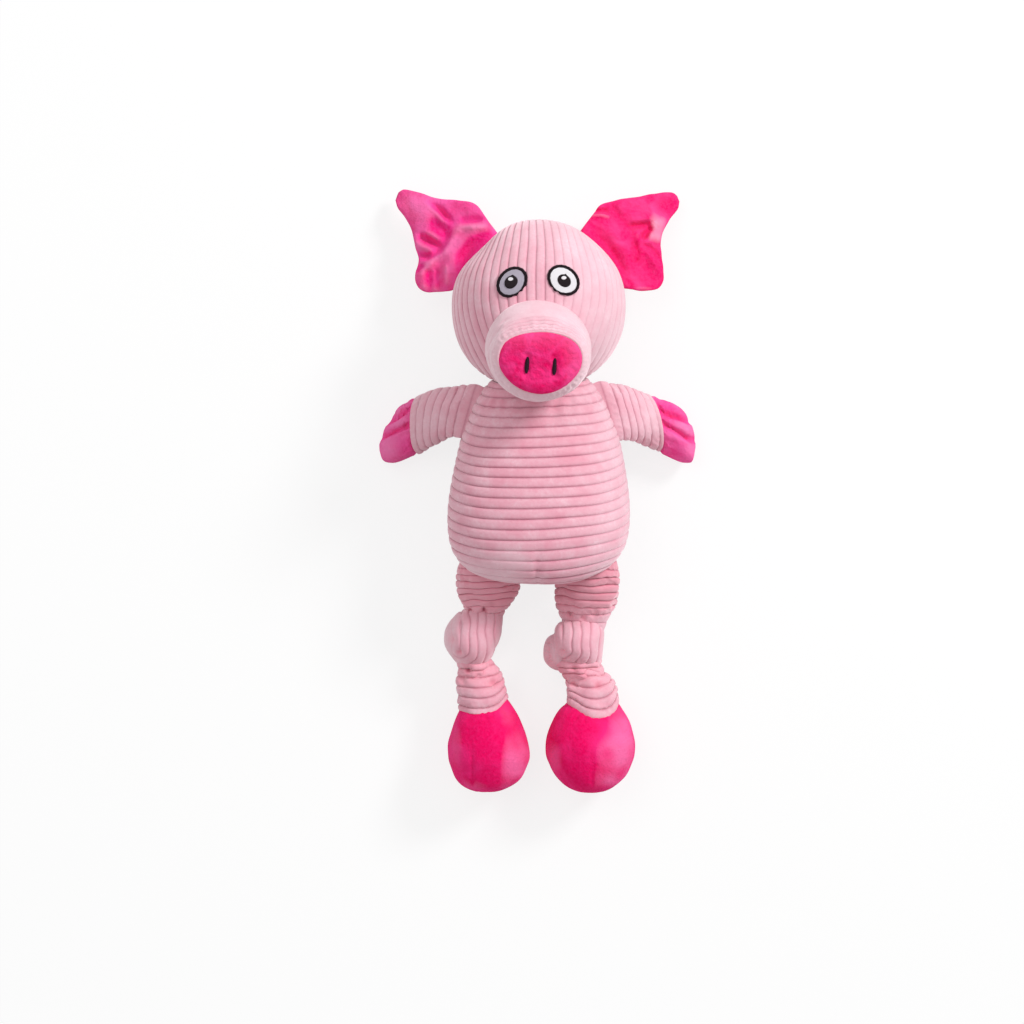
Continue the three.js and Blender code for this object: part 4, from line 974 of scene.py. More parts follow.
def build_ear(sign, ear):
    """The two layers of an ear as one closed form. Its height is the droop plus the folds, and its
    thickness is rounded off to nothing at the rim, as root(1 - |2v - 1|^9) across and root(1 - u^30) out."""
    reach = np.concatenate([[-0.14, -0.09, -0.045], 1 - np.cos(np.linspace(0, 1, 110) * np.pi / 2) ** 1.1])
    upper, lower = (line_at(ear[edge], np.clip(reach, 0, 1)) for edge in ("upper", "lower"))
    out = np.array([sign * EAR_OUT[0], EAR_OUT[1]])
    back = np.minimum(reach, 0)[:, None] * EAR_ROOT * out
    upper, lower = upper + back, lower + back
    v = (1 - np.cos(np.linspace(0, 1, 104) * np.pi)) / 2
    rim = (1 - np.abs(2 * v - 1) ** 9) ** 0.5 * (1 - np.clip(reach, 0, 1)[:, None] ** 30) ** 0.5
    flat = upper[:, None] + (lower - upper)[:, None] * v[None, :, None]
    ragged = uneven(np.concatenate([flat, 0 * flat[..., :1]], -1), 9, EAR_RAGGED)
    flat += (ragged * ease(reach, 0, 0.1)[:, None])[..., None] * out
    x, y = flat[..., 0], flat[..., 1]
    away = (np.stack([x, y], -1) - HEAD_AT[:2]) @ out - EAR_FROM
    height = EAR_ROOT_HEIGHT - EAR_DROOP * np.maximum(away, 0) ** 0.97
    loose = ease(away, -4, 6)
    rubbed = ear["pile"] + 0 * x
    for line, tall, wide, worn in ear["folds"]:
        distance, share = line_distance(x, y, line)
        long = along_curve(np.array(line, float))[-1] > LONG_FOLD
        fading = 1 - 0.75 * long * np.abs(2 * share - 1) ** 3
        near = bell(distance, wide * FOLD_WIDE)
        height = height + FOLD_TALL * tall * near * loose * fading
        # painted highlight on the ridges and painted shade in the valleys
        rubbed = rubbed + worn * near * fading * (ear["bright"] if worn > 0 else 1.2)
    crumple = np.stack([x, y, 0 * x], -1)
    height = height + (uneven(crumple, 15, 0.45) + uneven(crumple + 40, 6.5, 0.2)) * loose
    thick = EAR_THICKNESS / 2 * rim
    low = EAR_LOWEST + thick
    height = low + (height - low + np.sqrt((height - low) ** 2 + 9)) / 2 - 0.6 * bell(height - low, 4)
    grid = np.concatenate([np.stack([x, y, height + thick], -1),
                           np.stack([x, y, height - thick], -1)[:, ::-1][:, 1:-1]], 1)
    return grid, np.clip(np.concatenate([rubbed, 0.3 * rubbed[:, ::-1][:, 1:-1]], 1), -0.85, 1)


for side, sign in SIDES:
    ear_points, ear_rubbed = build_ear(sign, EARS[side])
    ear = piece(f"ear_{side}", ear_points, ear_plush[side], "bright_plush", rubbed=ear_rubbed)
    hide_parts(f"ear_front_{side}", f"ear_back_{side}")
    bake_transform(ear)

# %% [markdown]
# ## Arms
# An arm is given by its two edges as it lies, from the side seam of the body to the tip of the hand, and by
# its height and depth. The sleeve's wales run round it. They start with the slant of the body's side and
# turn square to the arm. The hand has two stitched grooves, which make three plump fingers.

# %% Arms
ARMS = {
    "right": dict(
        # share of the reach; upper edge x, y; lower edge x, y; height of the middle; half depth; lean
        form=[
            (-0.10, -30, 57.5, -38.5, 28.5, 38.6, 2.4, 0), (0, -34.4, 59.3, -43, 29.2, 38, 4, 0.1),
            (0.08, -38.8, 59, -47, 29.8, 35, 7, 0.2), (0.2, -45.5, 58.4, -52.4, 28.6, 29, 9.6, 0.3),
            (0.36, -53.5, 57.4, -58.6, 25.2, 21.5, 11.6, 0.4), (0.5, -61.4, 55.6, -63.6, 23, 16, 12.4, 0.4),
            (0.6, -67, 53.7, -67.2, 21.5, 13.2, 12.4, 0.35),
            (0.72, -73.8, 50.3, -72.8, 19.2, 12, 12.3, 0.2),
            (0.82, -79, 46.6, -77.2, 17.3, 11.6, 11.7, 0.15),
            (0.9, -83.2, 41.4, -81.4, 16.2, 11.2, 10.6, 0.1),
            (0.955, -86.6, 35.6, -85.4, 16.6, 10.8, 8.6, 0.05),
            (0.985, -88.5, 30.6, -88.1, 18.8, 10.6, 6.4, 0), (1, -89.4, 26.6, -89.3, 21.8, 10.5, 3, 0)],
        grooves=[[(-69, 48.4), (-74.6, 45.4), (-78, 43), (-81.4, 40.8), (-85, 39)],
                 [(-69, 38.3), (-71.5, 37.4), (-76.8, 35.3), (-82.4, 32.9), (-89, 30.2)]],
        pile=0.35,  # how pale the hand is painted all over, as painted light
        # middle of a patch of painted sheen (pale) and shade (deep), its size, how pale or deep it is
        worn=[((-79, 45.5), 4, 0.3), ((-78, 38), 4, 0.3), ((-84, 24), 6, 0.25), ((-74, 25), 6, -0.4)]),
    "left": dict(
        form=[
            (-0.10, 28, 58.5, 38.5, 27.5, 38.6, 2.4, 0), (0, 33.4, 61, 42.8, 28.2, 38, 4, 0.1),
            (0.08, 38, 60.2, 46.2, 28.8, 35, 7, 0.2), (0.2, 44.2, 59, 51, 28.2, 29, 9.6, 0.3),
            (0.36, 50.4, 57.4, 57, 26, 21.5, 11.6, 0.3), (0.5, 55.8, 55.6, 62.6, 24, 16, 12.4, 0.35),
            (0.6, 60.4, 54.3, 67.4, 22.4, 13.2, 12.4, 0.35), (0.72, 68.8, 51.9, 72.2, 20.2, 12, 12.3, 0.3),
            (0.82, 76.6, 48.6, 76.6, 18, 11.6, 11.7, 0.25), (0.9, 81.8, 43.8, 81.2, 16.4, 11.2, 10.6, 0.15),
            (0.955, 85.2, 37.2, 84.8, 16.4, 10.8, 8.6, 0.05), (0.985, 87.2, 31.2, 87, 18.4, 10.6, 6.4, 0),
            (1, 88.1, 26.9, 88, 21.6, 10.5, 3, 0)],
        grooves=[[(65.6, 46.4), (68.8, 44.4), (74.4, 42.4), (80.8, 40.8), (85.4, 39.2)],
                 [(67, 38.6), (71.2, 36.4), (76.1, 33.9), (82.5, 30.3), (89, 28.2)]],
        pile=0.15,
        worn=[((72, 48), 4, -0.3), ((79, 37.5), 5, 0.35), ((84, 34), 4, 0.4), ((77, 22.5), 6, -0.2),
              ((85.5, 24), 4, 0.4)]),
}
CUFF = 0.6  # the share of the reach where the sleeve ends
ARM_WALE = 5.9
ARM_ROUNDNESS = 2.15
SLEEVE_WALE_HEIGHT = 0.85
HAND_INSET = 0.085  # how much slimmer the hand is inside the cuff
GROOVE_HALF, GROOVE_DEPTH, GROOVE_UNDER = 1.5, 3.1, 0.5  # its depth on top, and what is left of it below


def arm_form(side):
    """The form of one arm: ovals between its two edges. A ring that leans carries its top outward by lean
    times its height over the middle."""
    def form(reach, columns):
        ux, uy, lx, ly, z, depth, lean = smooth(ARMS[side]["form"], reach).T
        centre = np.stack([(ux + lx) / 2, (uy + ly) / 2, z], -1)
        across = np.stack([(ux - lx) / 2, (uy - ly) / 2, 0 * z], -1)
        points = sections(centre, across, np.stack([0 * z, 0 * z, depth], -1), columns, ARM_ROUNDNESS)
        out = np.stack([across[:, 1], -across[:, 0], 0 * z], -1) * (-1 if side == "right" else 1)
        out /= np.linalg.norm(out, axis=1, keepdims=True)
        lift = np.maximum(points[..., 2] - centre[:, None, 2], 0) * lean[:, None]
        return points + out[:, None] * lift[..., None]
    return form


def spaced(form, first, last, pitch, start=0.0):
    """Rows of a form from first to last at the wanted counts of wales, by the length of its middle line."""
    at = np.linspace(first, last, 300)
    length = along_curve(form(at, 16).mean(1))
    counts = wale_rows(start, start + length[-1] / pitch)
    return np.interp((counts - start) * pitch, length, at), counts


def tucked(points, outward, counts):
    """Turns the last row of a tube in, like a hem: three more rows, each nearer to the middle."""
    hem, middle = points[-1:], points[-1].mean(0)
    rows = [hem + (middle - hem) * inset + np.array(outward) * o for inset, o in
            ((0.04, 0.5), (0.09, 0.3), (0.13, -2.0))]
    return np.concatenate([points, *rows]), np.concatenate([counts, counts[-1] + np.array([0.1, 0.2, 0.3])])


def build_sleeve(side, sign):
    """From inside the body's seam to the cuff, where the edge of the cloth is turned in."""
    form = arm_form(side)
    rows, counts = spaced(form, 0.0, CUFF, ARM_WALE)
    rows = np.concatenate([np.linspace(-0.1, 0, 6)[:-1], rows])
    counts = np.concatenate([np.linspace(-0.5, 0, 6)[:-1], counts])
    points = form(rows, 132)
    points += plump(form, rows, 132, lambda r: 1 - ease(r, 0.0, 0.1) * ease(-r, -0.59, -0.52), 1.0)
    x, y, z = np.moveaxis(points, -1, 0)
    # the sleeve on the lamp's side gets more faint: a paler colour, painted light
    faint = 0.35 + (0.45 * ease(x, 54, 62) * ease(y, 30, 44) if side == "left" else 0.1 * ease(-x, 50, 60))
    relief = (wale_relief(counts)[:, None] * SLEEVE_WALE_HEIGHT * ease(rows, 0.0, 0.08)[:, None]
              * (1 - 0.5 * faint))
    points = points + normals(points) * (relief + uneven(points, 26, 0.4))[..., None]
    points, counts = tucked(points, (sign * 0.93, -0.3, -0.2), counts)
    return lie(points), counts[:, None], np.concatenate([faint, faint[-3:]])


def build_hand(side):
    """From inside the cuff to the finger tips. A groove is a dip along its line, seen from above."""
    form = arm_form(side)
    reach = np.concatenate([[CUFF - 0.05, CUFF - 0.02],
                            CUFF + (1 - CUFF) * np.sin(np.linspace(0, 1, 110) * np.pi / 2)])
    shrink = (1 - HAND_INSET * (1 - ease(reach, CUFF, CUFF + 0.07)))[:, None, None]
    points = form(reach, 168)
    middle = points.mean(1, keepdims=True)
    points = middle + (points - middle) * shrink
    points += plump(form, reach, 168, lambda r: 1 - ease(r, CUFF, CUFF + 0.06), 0.8)
    x, y = points[..., 0], points[..., 1]
    dips = sum(bell(line_distance(x, y, line)[0], GROOVE_HALF) for line in ARMS[side]["grooves"])
    over_middle = points[..., 2] - points[..., 2].mean(1, keepdims=True)
    deep = ease(reach, CUFF - 0.01, CUFF + 0.08)[:, None] * ease(over_middle, 0, 7)
    relief = -GROOVE_DEPTH * dips * deep - GROOVE_UNDER * dips + uneven(points, 22, 0.3)
    # painted sheen and shade in patches, and painted shade in the finger grooves
    brushed = sum(worn * bell(np.hypot(x - at[0], y - at[1]), size) for at, size, worn in ARMS[side]["worn"])
    rubbed = ARMS[side]["pile"] - 0.9 * dips + brushed
    return lie(points + normals(points) * relief[..., None]), rubbed


for side, sign in SIDES:
    sleeve_points, sleeve_wales, sleeve_faint = build_sleeve(side, sign)
    sleeve = piece(f"sleeve_of_arm_{side}", sleeve_points, pale, "pale_corduroy",
                   wales=sleeve_wales, faint=sleeve_faint)
    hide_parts(f"sleeve_{side}", f"arm_filling_{side}")
    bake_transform(sleeve)
    hand_points, hand_rubbed = build_hand(side)
    hand = piece(f"mitt_{side}", hand_points, hand_plush, "bright_plush", rubbed=hand_rubbed)
    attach(hand, f"arm_{side}")
    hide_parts(f"hand_{side}")

# %% [markdown]
# ## Legs
# A leg is one long corduroy tube with a knot pulled tight in it. Above the knot it is the thigh, whose wales
# run round it and stand out at its sides because the cloth is squeezed together. It is drawn in to the
# knot, and the part that goes into the knot is rounded, so that it can turn there.

# %% Thighs
# place up the toy, left edge, right edge, height over the table, half depth
THIGHS = {
    "right": [
        (-29, -35, -18, 40, 4), (-35, -42.4, -13, 39.6, 9), (-41, -44.3, -10.4, 37.5, 11.4),
        (-46, -44.8, -9.8, 34.6, 12.6), (-52, -44.9, -10.4, 30, 13), (-57, -44.2, -12, 26, 13.2),
        (-61.5, -42.7, -14.8, 22.6, 12.7), (-65.5, -41.2, -17.8, 20.2, 11.6),
        (-69, -40.6, -19.8, 19.2, 10.4), (-73, -39.4, -21.4, 19, 8.6), (-76, -37, -23.6, 19, 6),
        (-77.6, -33, -28, 19, 2),
    ],
    "left": [
        (-29, 17, 34, 40, 4), (-35, 13, 41.4, 39.6, 9), (-41, 10.8, 43.7, 37.5, 11.4),
        (-46, 10, 44.3, 34.8, 12.6), (-52, 9.9, 44.5, 30.6, 13), (-58, 9.9, 43.7, 26.2, 13.3),
        (-64, 10.2, 42.3, 22.4, 13), (-69, 11.6, 40.2, 20.2, 12), (-73, 13.2, 38, 19.3, 10.8),
        (-77, 14.8, 35.6, 19, 8.8), (-80.5, 17, 32.8, 19, 6), (-82.2, 22, 28, 19, 2),
    ],
}
THIGH_WALE = {"right": 4.5, "left": 5.0}
# painted redder fold light over the thigh's lower part, by the knot
THIGH_FOLD_LIGHT = 0.55
# painted light: the thighs' colour is made paler and their grooves lighter
THIGH_PAINTED_LIGHT = 0.4
LEG_ROUNDNESS = 2.1
# places where the cloth is pinched into a pit, darkened by painted shade: x, y, radius, depth
THIGH_PITS = {"right": [(-38.4, -66.6, 1.5, 2), (-30.6, -66.4, 1.7, 2.8), (-26, -63, 2.4, 0.8)],
              "left": [(16.6, -69.2, 1.7, 2.8), (24.6, -70.6, 1.5, 1.6), (30.6, -68, 2.4, 0.8)]}


def leg_form(table, tilt=0.0, lean=0.0, hem=None):
    """Ovals between the two edges of a leg. A ring is tilted across by tilt and leans forward by lean,
    and near a hem it follows the hem's curve: hem = (shifts across the leg, from y, to y)."""
    def form(y, columns):
        left, right, z, depth = smooth(table, y).T
        zero = 0 * z
        centre = np.stack([(left + right) / 2, y, z], -1)
        across = np.stack([(right - left) / 2, zero, zero], -1)
        points = sections(centre, across, np.stack([zero, zero, depth], -1), columns, LEG_ROUNDNESS)
        off = points - centre[:, None]
        points[..., 1] += tilt * off[..., 0] - lean * off[..., 2]
        if hem:
            share = off[..., 0] / np.maximum(across[:, :1], 1)
            shift = smooth(hem[0], share.ravel()).reshape(share.shape)
            points[..., 1] += shift * ease(y, hem[1], hem[2])[:, None]
        return points
    return form


DEEPEST_PIT = 2.8  # a pit this deep gets the full painted shade


def pitted(points, pits):
    """How deep each point of the front lies in the pits: a bell round each one."""
    x, y, z = np.moveaxis(points, -1, 0)
    front = z > points[..., 2].mean(1, keepdims=True)
    return sum(deep * bell(np.hypot(x - px, y - py), radius) for px, py, radius, deep in pits) * front


def fold_light_and_shade(points, pits, broad, counts=0.5):
    """How much painted fold light and shade each point gets: by the pits, broadly where light goes from fold
    to fold, and more in the grooves."""
    deep = pitted(points, pits) / DEEPEST_PIT
    groove = ease(-wale_relief(counts), 0.0, 0.8) * (0.1 + 0.4 * broad)
    return np.clip(0.8 * deep + broad + groove + 0 * points[..., 0], 0, 1)


def ribbed(points, counts, height, pits=(), size=24, amount=0.4, wander=0.0):
    """A grid with wales of a height, slightly uneven and with pits, kept above the table. The wales
    wander up and down the leg."""
    points = points + np.array([0, 1, 0]) * uneven(points, 17, wander)[..., None]
    counts = counts[:, None] if np.ndim(counts) == 1 else counts
    relief = wale_relief(counts) * height + uneven(points, size, amount)
    if pits:
        relief = relief - pitted(points, pits)
    return lie(points + normals(points) * relief[..., None])


for side, sign in SIDES:
    form = leg_form(THIGHS[side], -0.05 * sign, 0.1)
    top, bottom = THIGHS[side][0][0], THIGHS[side][-1][0]
    rows, counts = spaced(form, top, bottom, THIGH_WALE[side], 0.2)
    points = form(rows, 120)
    points += plump(form, rows, 120, lambda y: 1 - ease(-y, 40, 46) * ease(y, -70, -62), 1.0, looser=0.05)
    gather = 1.0 * ease(-points[..., 1], 40, 48) * (1 - 0.35 * ease(-points[..., 1], 66, 74))
    broad = THIGH_FOLD_LIGHT * ease(points[..., 1], -74, -58)
    pits = THIGH_PITS[side]
    thigh = piece(f"thigh_{side}", ribbed(points, counts, gather, pits, wander=0.45), pale, "pale_corduroy",
                  wales=counts[:, None], faint=THIGH_PAINTED_LIGHT,
                  crease=fold_light_and_shade(points, pits, broad, counts[:, None]))
    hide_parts(f"thigh_cover_{side}", f"thigh_filling_{side}")
    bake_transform(thigh)

# %% [markdown]
# The knot shows the turn of the tube that crosses in front. Its wales stand upright, and at the bottom they
# hook round towards the side where the cloth goes on behind. So the count of wales is not the grid's here:
# it is the distance from an upright line above the hook's middle, and the distance from that middle below
# it. Under this turn the cloth comes out again in small folds, pinched into pits where it is pulled
# tightest, with painted shade in them.

# %% Knots
KNOTS = {
    "right": dict(
        turns=[dict(
            name="knot_front", z=19.2, hook=(-43.4, -88.2), pitch=4.8, height=1.15, smooth_from=1.5,
            # place up the toy, left edge, right edge, half depth
            edges=[(-65.4, -38, -27, 4), (-66.6, -42, -23, 9), (-69.6, -46.2, -20.2, 14.2),
                   (-74.1, -50.1, -19.8, 17.6), (-79.1, -52.3, -20.9, 19.2), (-83.4, -52.6, -22.4, 19.4),
                   (-87.6, -51.2, -24.2, 18.6), (-91.7, -48.6, -26.2, 16.2), (-95.2, -45.8, -28.2, 12.6),
                   (-97.6, -42.6, -31, 8), (-98.6, -39.6, -34, 4)],
            pits=[(-47.9, -81.8, 2.2, 1.1), (-43.8, -89.2, 1.5, 1.8), (-46.5, -93.5, 1.4, 0.8)])],
        under=[(-88, -42, -29, 19, 9), (-92, -45, -27.4, 19, 11), (-96, -45.6, -26.2, 18.6, 12.8),
               (-100, -44.8, -24, 18.4, 13.2), (-103.4, -42.8, -24.6, 18.2, 11.8),
               (-105.2, -39, -29, 18, 6)],
        pits=[(-39.4, -99.6, 2, 2.2), (-28.2, -100.6, 2.2, 2.9), (-33.8, -102.4, 1.6, 1)]),
    "left": dict(
        turns=[dict(
            name="knot_front", z=19.2, hook=(13.1, -88), pitch=5.1, height=1.25, smooth_from=9,
            edges=[(-70.4, 20, 29, 4), (-71.6, 15.4, 33.2, 9.5), (-74.6, 11.2, 35.2, 14.4),
                   (-78.6, 8.6, 35.8, 17.6), (-83, 7.6, 35.6, 19.2), (-87.4, 8.2, 35.2, 19.2),
                   (-91.2, 10.2, 34.9, 17.4), (-94, 13, 34.4, 14.6), (-96, 17, 33, 10.6), (-97, 21, 30, 6)],
            pits=[(13.4, -88.6, 1.4, 1.4)]),
               dict(
            name="knot_side", z=15.4, hook=(9.4, -97), pitch=4.4, height=0.7, smooth_from=-12,
            edges=[(-80, 8.6, 11.6, 3), (-81.2, 5.8, 14.6, 7.4), (-84, 3.8, 16.6, 10.6),
                   (-88.4, 2.8, 17.6, 12.2), (-92.6, 3, 18, 12.2), (-96.2, 4.8, 18.4, 10.4),
                   (-98.8, 8.4, 18, 7.2), (-99.8, 11.6, 16.4, 3.4)],
            pits=[(5.6, -84, 1.1, 0.8), (5.2, -88, 1.1, 1), (5.6, -92, 1.1, 1),
                  (7, -95, 1.1, 0.8)])],
        under=[(-87, 12, 31, 18, 9), (-91, 9.6, 34, 18, 11.6), (-95, 9, 34.8, 18, 13.8),
               (-99, 10.8, 34.9, 18, 14.2), (-102.6, 14.4, 35.8, 18, 13.2), (-105, 16.2, 34.6, 18, 9.6),
               (-106.2, 20, 31, 18, 5)],
        pits=[(27.8, -100.8, 2.2, 2.9), (29.6, -103.6, 1.5, 2), (19.6, -98.6, 2, 1.5)]),
}
# the faint value also paints the knots paler, as painted light, besides lowering their wales
KNOT_FAINT, FADED = 0.3, 0.85
UNDER_WALE, UNDER_WALE_HEIGHT = 3.9, 1.5


def build_turn(turn, columns=260, rows=120):
    """One turn of the knot, with its wales counted by their distance from the hook. Beyond the hook's own
    side they fade out, as the cloth there is rounded off."""
    form = leg_form([(y, left, right, turn["z"], depth) for y, left, right, depth in turn["edges"]])
    top, bottom = turn["edges"][0][0], turn["edges"][-1][0]
    at = (top + bottom) / 2 + np.sin(np.linspace(-1, 1, rows) * np.pi / 2) * (bottom - top) / 2
    points = form(at, columns)
    points += plump(form, at, columns, lambda y: 0 * y, 0.6, looser=0.04)
    x, y = points[..., 0], points[..., 1]
    hx, hy = turn["hook"]
    count = np.where(y > hy, np.abs(x - hx), np.hypot(x - hx, y - hy)) / turn["pitch"]
    count = count + uneven(points, 14, 0.1)
    faint = KNOT_FAINT + ease(hx - x, turn["smooth_from"], turn["smooth_from"] + 3) * (FADED - KNOT_FAINT)
    ends = ease(np.sin(np.linspace(0, 1, rows) * np.pi), 0.0, 0.3)[:, None]
    creased = fold_light_and_shade(points, turn["pits"], 0.06, count)
    return ribbed(points, count, turn["height"] * ends * (1 - faint), turn["pits"]), count, faint, creased


for side, sign in SIDES:
    knot = KNOTS[side]
    made = []
    for turn in knot["turns"]:
        points, count, faint, creased = build_turn(turn)
        made.append(piece(f"{turn['name']}_{side}", points, pale, "pale_corduroy",
                          wales=count, faint=faint, crease=creased))
    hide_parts(f"knot_{side}")
    form = leg_form(knot["under"], 0.04, 0.05)
    rows, counts = spaced(form, knot["under"][0][0], knot["under"][-1][0], UNDER_WALE, 0.3)
    points = ribbed(form(rows, 120), counts, UNDER_WALE_HEIGHT, knot["pits"], 9, 0.5, 0.9)
    made.append(piece(f"knot_under_{side}", points, pale, "pale_corduroy", wales=counts[:, None],
                      crease=fold_light_and_shade(points, knot["pits"], 0.28, counts[:, None])))
    for part in made:
        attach(part, f"knot_{side}")

# %% [markdown]
# Below the knot the shin widens again and is sewn to the foot. Its last wales bend down to the hem, which
# is a curve. The foot's top follows the same curve inside, so the two never cross.

# %% Shins
SHINS = {
    "right": [
        (-92, -38, -30, 19, 3), (-94, -41.6, -26.4, 19, 7), (-97, -43.6, -24.2, 19, 9.2),
        (-101, -44.8, -22, 19.2, 11), (-106, -46, -20.6, 19.4, 12.4), (-110, -45.8, -19.4, 19.8, 13.2),
        (-115, -44.8, -18.4, 20.4, 13.8), (-121.2, -44.3, -17.9, 21.2, 14.2),
    ],
    "left": [
        (-92, 20, 29, 19, 3), (-94, 16.6, 33, 19, 7), (-97, 15, 35, 19, 9.2), (-101, 14.8, 36.6, 19.2, 11),
        (-106, 15.2, 40.6, 19.4, 12.6), (-110, 15.2, 42.4, 19.8, 13.4), (-115, 15.6, 44, 20.4, 14),
        (-121.8, 15.6, 45, 21.2, 14.4),
    ],
}
# share across the leg, how much higher the hem is there
HEMS = {
    "right": [(-1, 0.3), (-0.55, -0.7), (0.1, -0.7), (0.7, 1.6), (0.9, 4.2), (1, 6.6)],
    "left": [(-1, 4.2), (-0.7, 1.2), (-0.25, -1.8), (0.3, -3.4), (0.6, -3), (0.82, -0.6), (1, 4.4)],
}
SHIN_WALE = 5.2
SHIN_PITS = {"right": [(-25.6, -106.4, 2.2, 1.6), (-42.4, -105.6, 1.8, 0.9)],
             "left": [(32.8, -107.6, 2.2, 1.5), (19.2, -107.2, 1.8, 1)]}
SHIN_WALE_HEIGHT = 1.1
SHIN_FOLD_LIGHT = 0.25  # painted redder fold light at its top, where the knot pinches it

for side, sign in SIDES:
    form = leg_form(SHINS[side], 0.03, 0.08, (HEMS[side], -97.0, -119.0))
    rows, counts = spaced(form, SHINS[side][0][0], SHINS[side][-1][0], SHIN_WALE, 0.1)
    points = form(rows, 120)
    points += plump(form, rows, 120, lambda y: 1 - ease(-y, 96, 101) * ease(y, -120, -115), 0.8)
    height, pits = (SHIN_WALE_HEIGHT * ease(-rows, 95, 101))[:, None], SHIN_PITS[side]
    points, counts = tucked(ribbed(points, counts, height, pits, 14, 0.5, 0.5), (0, -1, 0), counts)
    broad = SHIN_FOLD_LIGHT * ease(points[..., 1], -115, -102)
    shin = piece(f"shin_{side}", lie(points), pale, "pale_corduroy", wales=counts[:, None],
                 crease=fold_light_and_shade(points, pits, broad, counts[:, None]))
    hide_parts(f"shin_cover_{side}", f"shin_filling_{side}")
    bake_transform(shin)

# %% [markdown]
# The feet are plump drops of plush, well filled, with a faint seam up the front, painted shade along it,
# and patches of painted sheen and painted shade, paler at the sides and deeper in the middle.

# %% Feet
# place up the toy, left edge, right edge, height over the table, half depth
FEET = {
    "right": [
        (-112, -38, -25, 20.6, 7), (-117, -41, -21.4, 21, 10.2), (-121, -43.2, -18.8, 21.4, 13),
        (-125, -45, -15.8, 21.8, 15.6), (-130, -47, -12, 22, 18.2), (-136, -49, -8.2, 22, 20.6),
        (-142, -50.2, -5.7, 22, 22), (-148, -50.1, -5.3, 22, 22.2), (-153.5, -48.6, -7.1, 22, 21.2),
        (-158.4, -46.9, -9.6, 22, 19.4), (-162.4, -43.8, -13.4, 22, 16.8), (-165.2, -39.8, -18.2, 22, 13),
        (-166.8, -35.2, -23.4, 22, 8.2), (-167.3, -31, -28, 22, 2),
    ],
    "left": [
        (-115, 23, 36.4, 20.8, 6.5), (-118, 18.8, 41, 21, 10.2), (-121.5, 16.2, 43.8, 21.4, 13.2),
        (-125.5, 12.4, 46.4, 21.8, 15.8), (-130, 8.8, 49.4, 22, 18.4), (-135.4, 5.6, 52, 22, 20.8),
        (-141, 4.1, 53.3, 22, 22.2), (-146.6, 4.2, 53.2, 22, 22.4), (-152.2, 6.2, 51.6, 22, 21.6),
        (-157.4, 8.9, 49.2, 22, 19.8), (-161.8, 12.9, 45.2, 22, 17.2), (-164.9, 17.5, 40.6, 22, 13.4),
        (-166.7, 22.3, 35.5, 22, 8.4), (-167.4, 27, 31, 22, 2),
    ],
}
# middle of a patch of painted sheen and shade, its half sizes, how pale or deep it is
SHEEN_AND_SHADE_PATCHES = {
    "right": [((-33, -128), (9, 14), -1), ((-27, -146), (6, 16), -0.8), ((-13, -150), (9, 13), 0.75),
              ((-46, -138), (4, 14), 0.35), ((-20, -124), (5, 6), 0.3), ((-34, -163), (9, 3), 0.3)],
    "left": [((24, -130), (13, 10), -1), ((22, -148), (7, 11), -0.9), ((45, -140), (9, 20), 0.85),
             ((8, -148), (5, 9), 0.35), ((34, -158), (10, 6), 0.25), ((33, -140), (5, 8), 0.3)],
}
FOOT_SEAM = {"right": -37.0, "left": 29.5}
SOLE_SEAM_DIP = 0.5
PATCH_EDGE = 2.5  # the power in exp(-distance^power), which makes a patch even within and soft at its edge

for side in FEET:
    form = leg_form(FEET[side], 0.0, 0.0, (HEMS[side], -144.0, -124.0))
    edge = np.array(FEET[side])
    at = along_curve(edge[:, [0, 2]])
    rows = smooth(np.column_stack([at / at[-1], edge[:, 0]]), np.linspace(0, 1, 140))[:, 0]
    points = form(rows, 156)
    points += plump(form, rows, 156, lambda y: ease(y, -124, -120), 0.7)
    x, y, z = np.moveaxis(points, -1, 0)
    seam = bell(x - FOOT_SEAM[side], 0.9) * (z > 22) * ease(-y, 140, 146) * ease(y, -165, -160)
    relief = uneven(points, 40, 0.35) + uneven(points + 30, 12, 0.12) - SOLE_SEAM_DIP * seam
    ragged = uneven(points, 11, 0.2)
    # painted sheen and shade in patches, and painted shade along the seam
    rubbed = sum(value * np.exp(-np.abs(np.hypot((x - px) / sx, (y - py) / sy) + ragged) ** PATCH_EDGE)
                 * ease(z, 6, 26) for (px, py), (sx, sy), value in SHEEN_AND_SHADE_PATCHES[side]) - 0.5 * seam
    points = lie(points + normals(points) * relief[..., None])
    foot = piece(f"foot_{side}", points, foot_plush, "bright_plush", rubbed=np.clip(rubbed, -1, 1))
    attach(foot, f"foot_{side}")
    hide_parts(f"foot_cover_{side}", f"foot_filling_{side}")

# %% [markdown]
# ## Inside
# The squeaker stays as its solids are. It is blown and moulded from soft white vinyl, a little milky.

# %% Squeaker: soft vinyl
vinyl, tree, output = finish("soft_vinyl_blown")
place = add(tree, "TexCoord", out="Object")
cloud = add(tree, "TexNoise", {"Vector": place, "Scale": 160.0, "Detail": 3.0})
milky = add(tree, "Mix", {"Factor": cloud, 6: linear("#f3f1ea"), 7: linear("#e6e3da")}, 2, data_type="RGBA")
skin = add(tree, "Bump", {"Height": cloud, "Strength": 0.15, "Distance": 0.2 * MM})
shader = add(tree, "BsdfPrincipled", {"Base Color": milky, "Normal": skin, "Roughness": 0.4})
tree.links.new(shader, output.inputs["Surface"])
for name in ("squeaker_bulb", "squeaker_reed"):
    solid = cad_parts[name]
    solid.data.materials.clear()
    solid.data.materials.append(vinyl)

# %% [markdown]
# ## Light and floor
# One broad soft lamp stands up and to the right in the picture, and the white room fills the shade. The
# floor is white card. Seen by the camera, most of its white is its own, so that it goes over into the
# background without an edge, and the rest is lit, so that it keeps the toy's soft shadow.

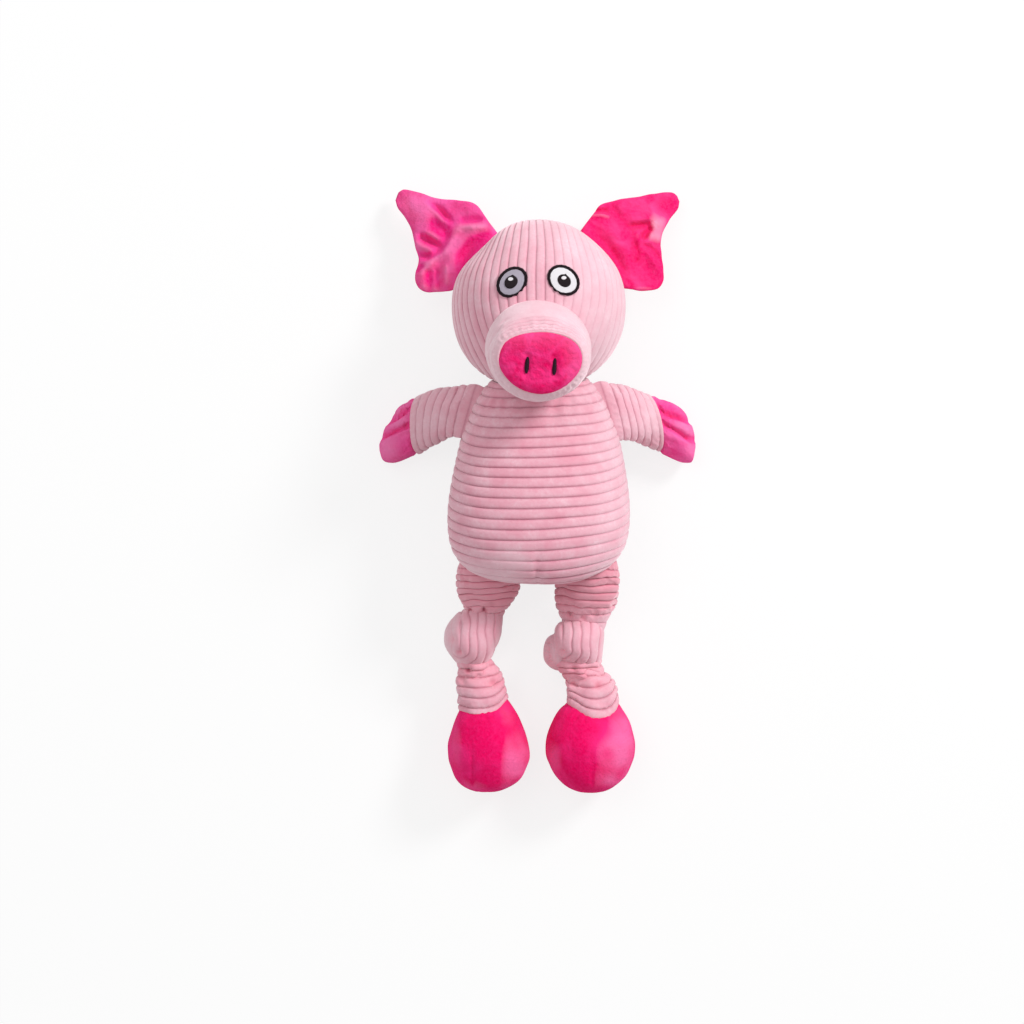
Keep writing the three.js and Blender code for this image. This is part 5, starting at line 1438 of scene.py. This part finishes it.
# %% Studio
FLOOR_OWN_WHITE = 0.8
FLOOR_HALF = 6  # metres
ROOM_LIGHT = 0.46
WHITE = (1, 1, 1, 1)


def seen_directly(tree):
    """1 for a ray from the camera, or one that a surface mirrors or lets through, and 0 for other light."""
    rays = tree.nodes.new("ShaderNodeLightPath").outputs
    seen = add(tree, "Math", {0: rays["Is Camera Ray"], 1: rays["Is Glossy Ray"]}, operation="MAXIMUM")
    return add(tree, "Math", {0: seen, 1: rays["Is Transmission Ray"]}, operation="MAXIMUM")


floor_mesh = bpy.data.meshes.new("floor")
floor_corners = [(x * FLOOR_HALF, y * FLOOR_HALF, 0) for x, y in ((-1, -1), (1, -1), (1, 1), (-1, 1))]
floor_mesh.from_pydata(floor_corners, [], [(0, 1, 2, 3)])
floor = bpy.data.objects.new("floor", floor_mesh)
bpy.context.scene.collection.objects.link(floor)
card, tree, output = finish("white_card")
share = add(tree, "Math", {0: seen_directly(tree), 1: FLOOR_OWN_WHITE}, operation="MULTIPLY")
matt = add(tree, "BsdfDiffuse", {"Color": linear("#fbfbfb")})
white = add(tree, "Emission", {"Color": WHITE, "Strength": 1.0})
tree.links.new(add(tree, "MixShader", {0: share, 1: matt, 2: white}), output.inputs["Surface"])
floor_mesh.materials.append(card)

world = bpy.data.worlds.new("studio")
bpy.context.scene.world = world
world.use_nodes = True
tree = world.node_tree
tree.nodes.clear()
room = add(tree, "Background", {"Color": WHITE, "Strength": ROOM_LIGHT})
backdrop = add(tree, "Background", {"Color": WHITE, "Strength": 1.0})
sky = tree.nodes.new("ShaderNodeOutputWorld")
tree.links.new(add(tree, "MixShader", {0: seen_directly(tree), 1: room, 2: backdrop}), sky.inputs["Surface"])


def lamp(name, at, size, watts):
    """A square soft lamp that faces the middle of the toy."""
    data = bpy.data.lights.new(name, "AREA")
    data.shape, data.size, data.energy = "SQUARE", size, watts
    made = bpy.data.objects.new(name, data)
    made.location = at
    made.rotation_euler = (-Vector(at)).to_track_quat("-Z", "Y").to_euler()
    bpy.context.scene.collection.objects.link(made)


lamp("key", (1.4, 1.12, 1.33), 0.56, 34.8)
lamp("fill", (-0.5, 0.4, 1.3), 0.9, 4.2)
bpy.context.scene.view_settings.view_transform = "Standard"
print("studio ready")
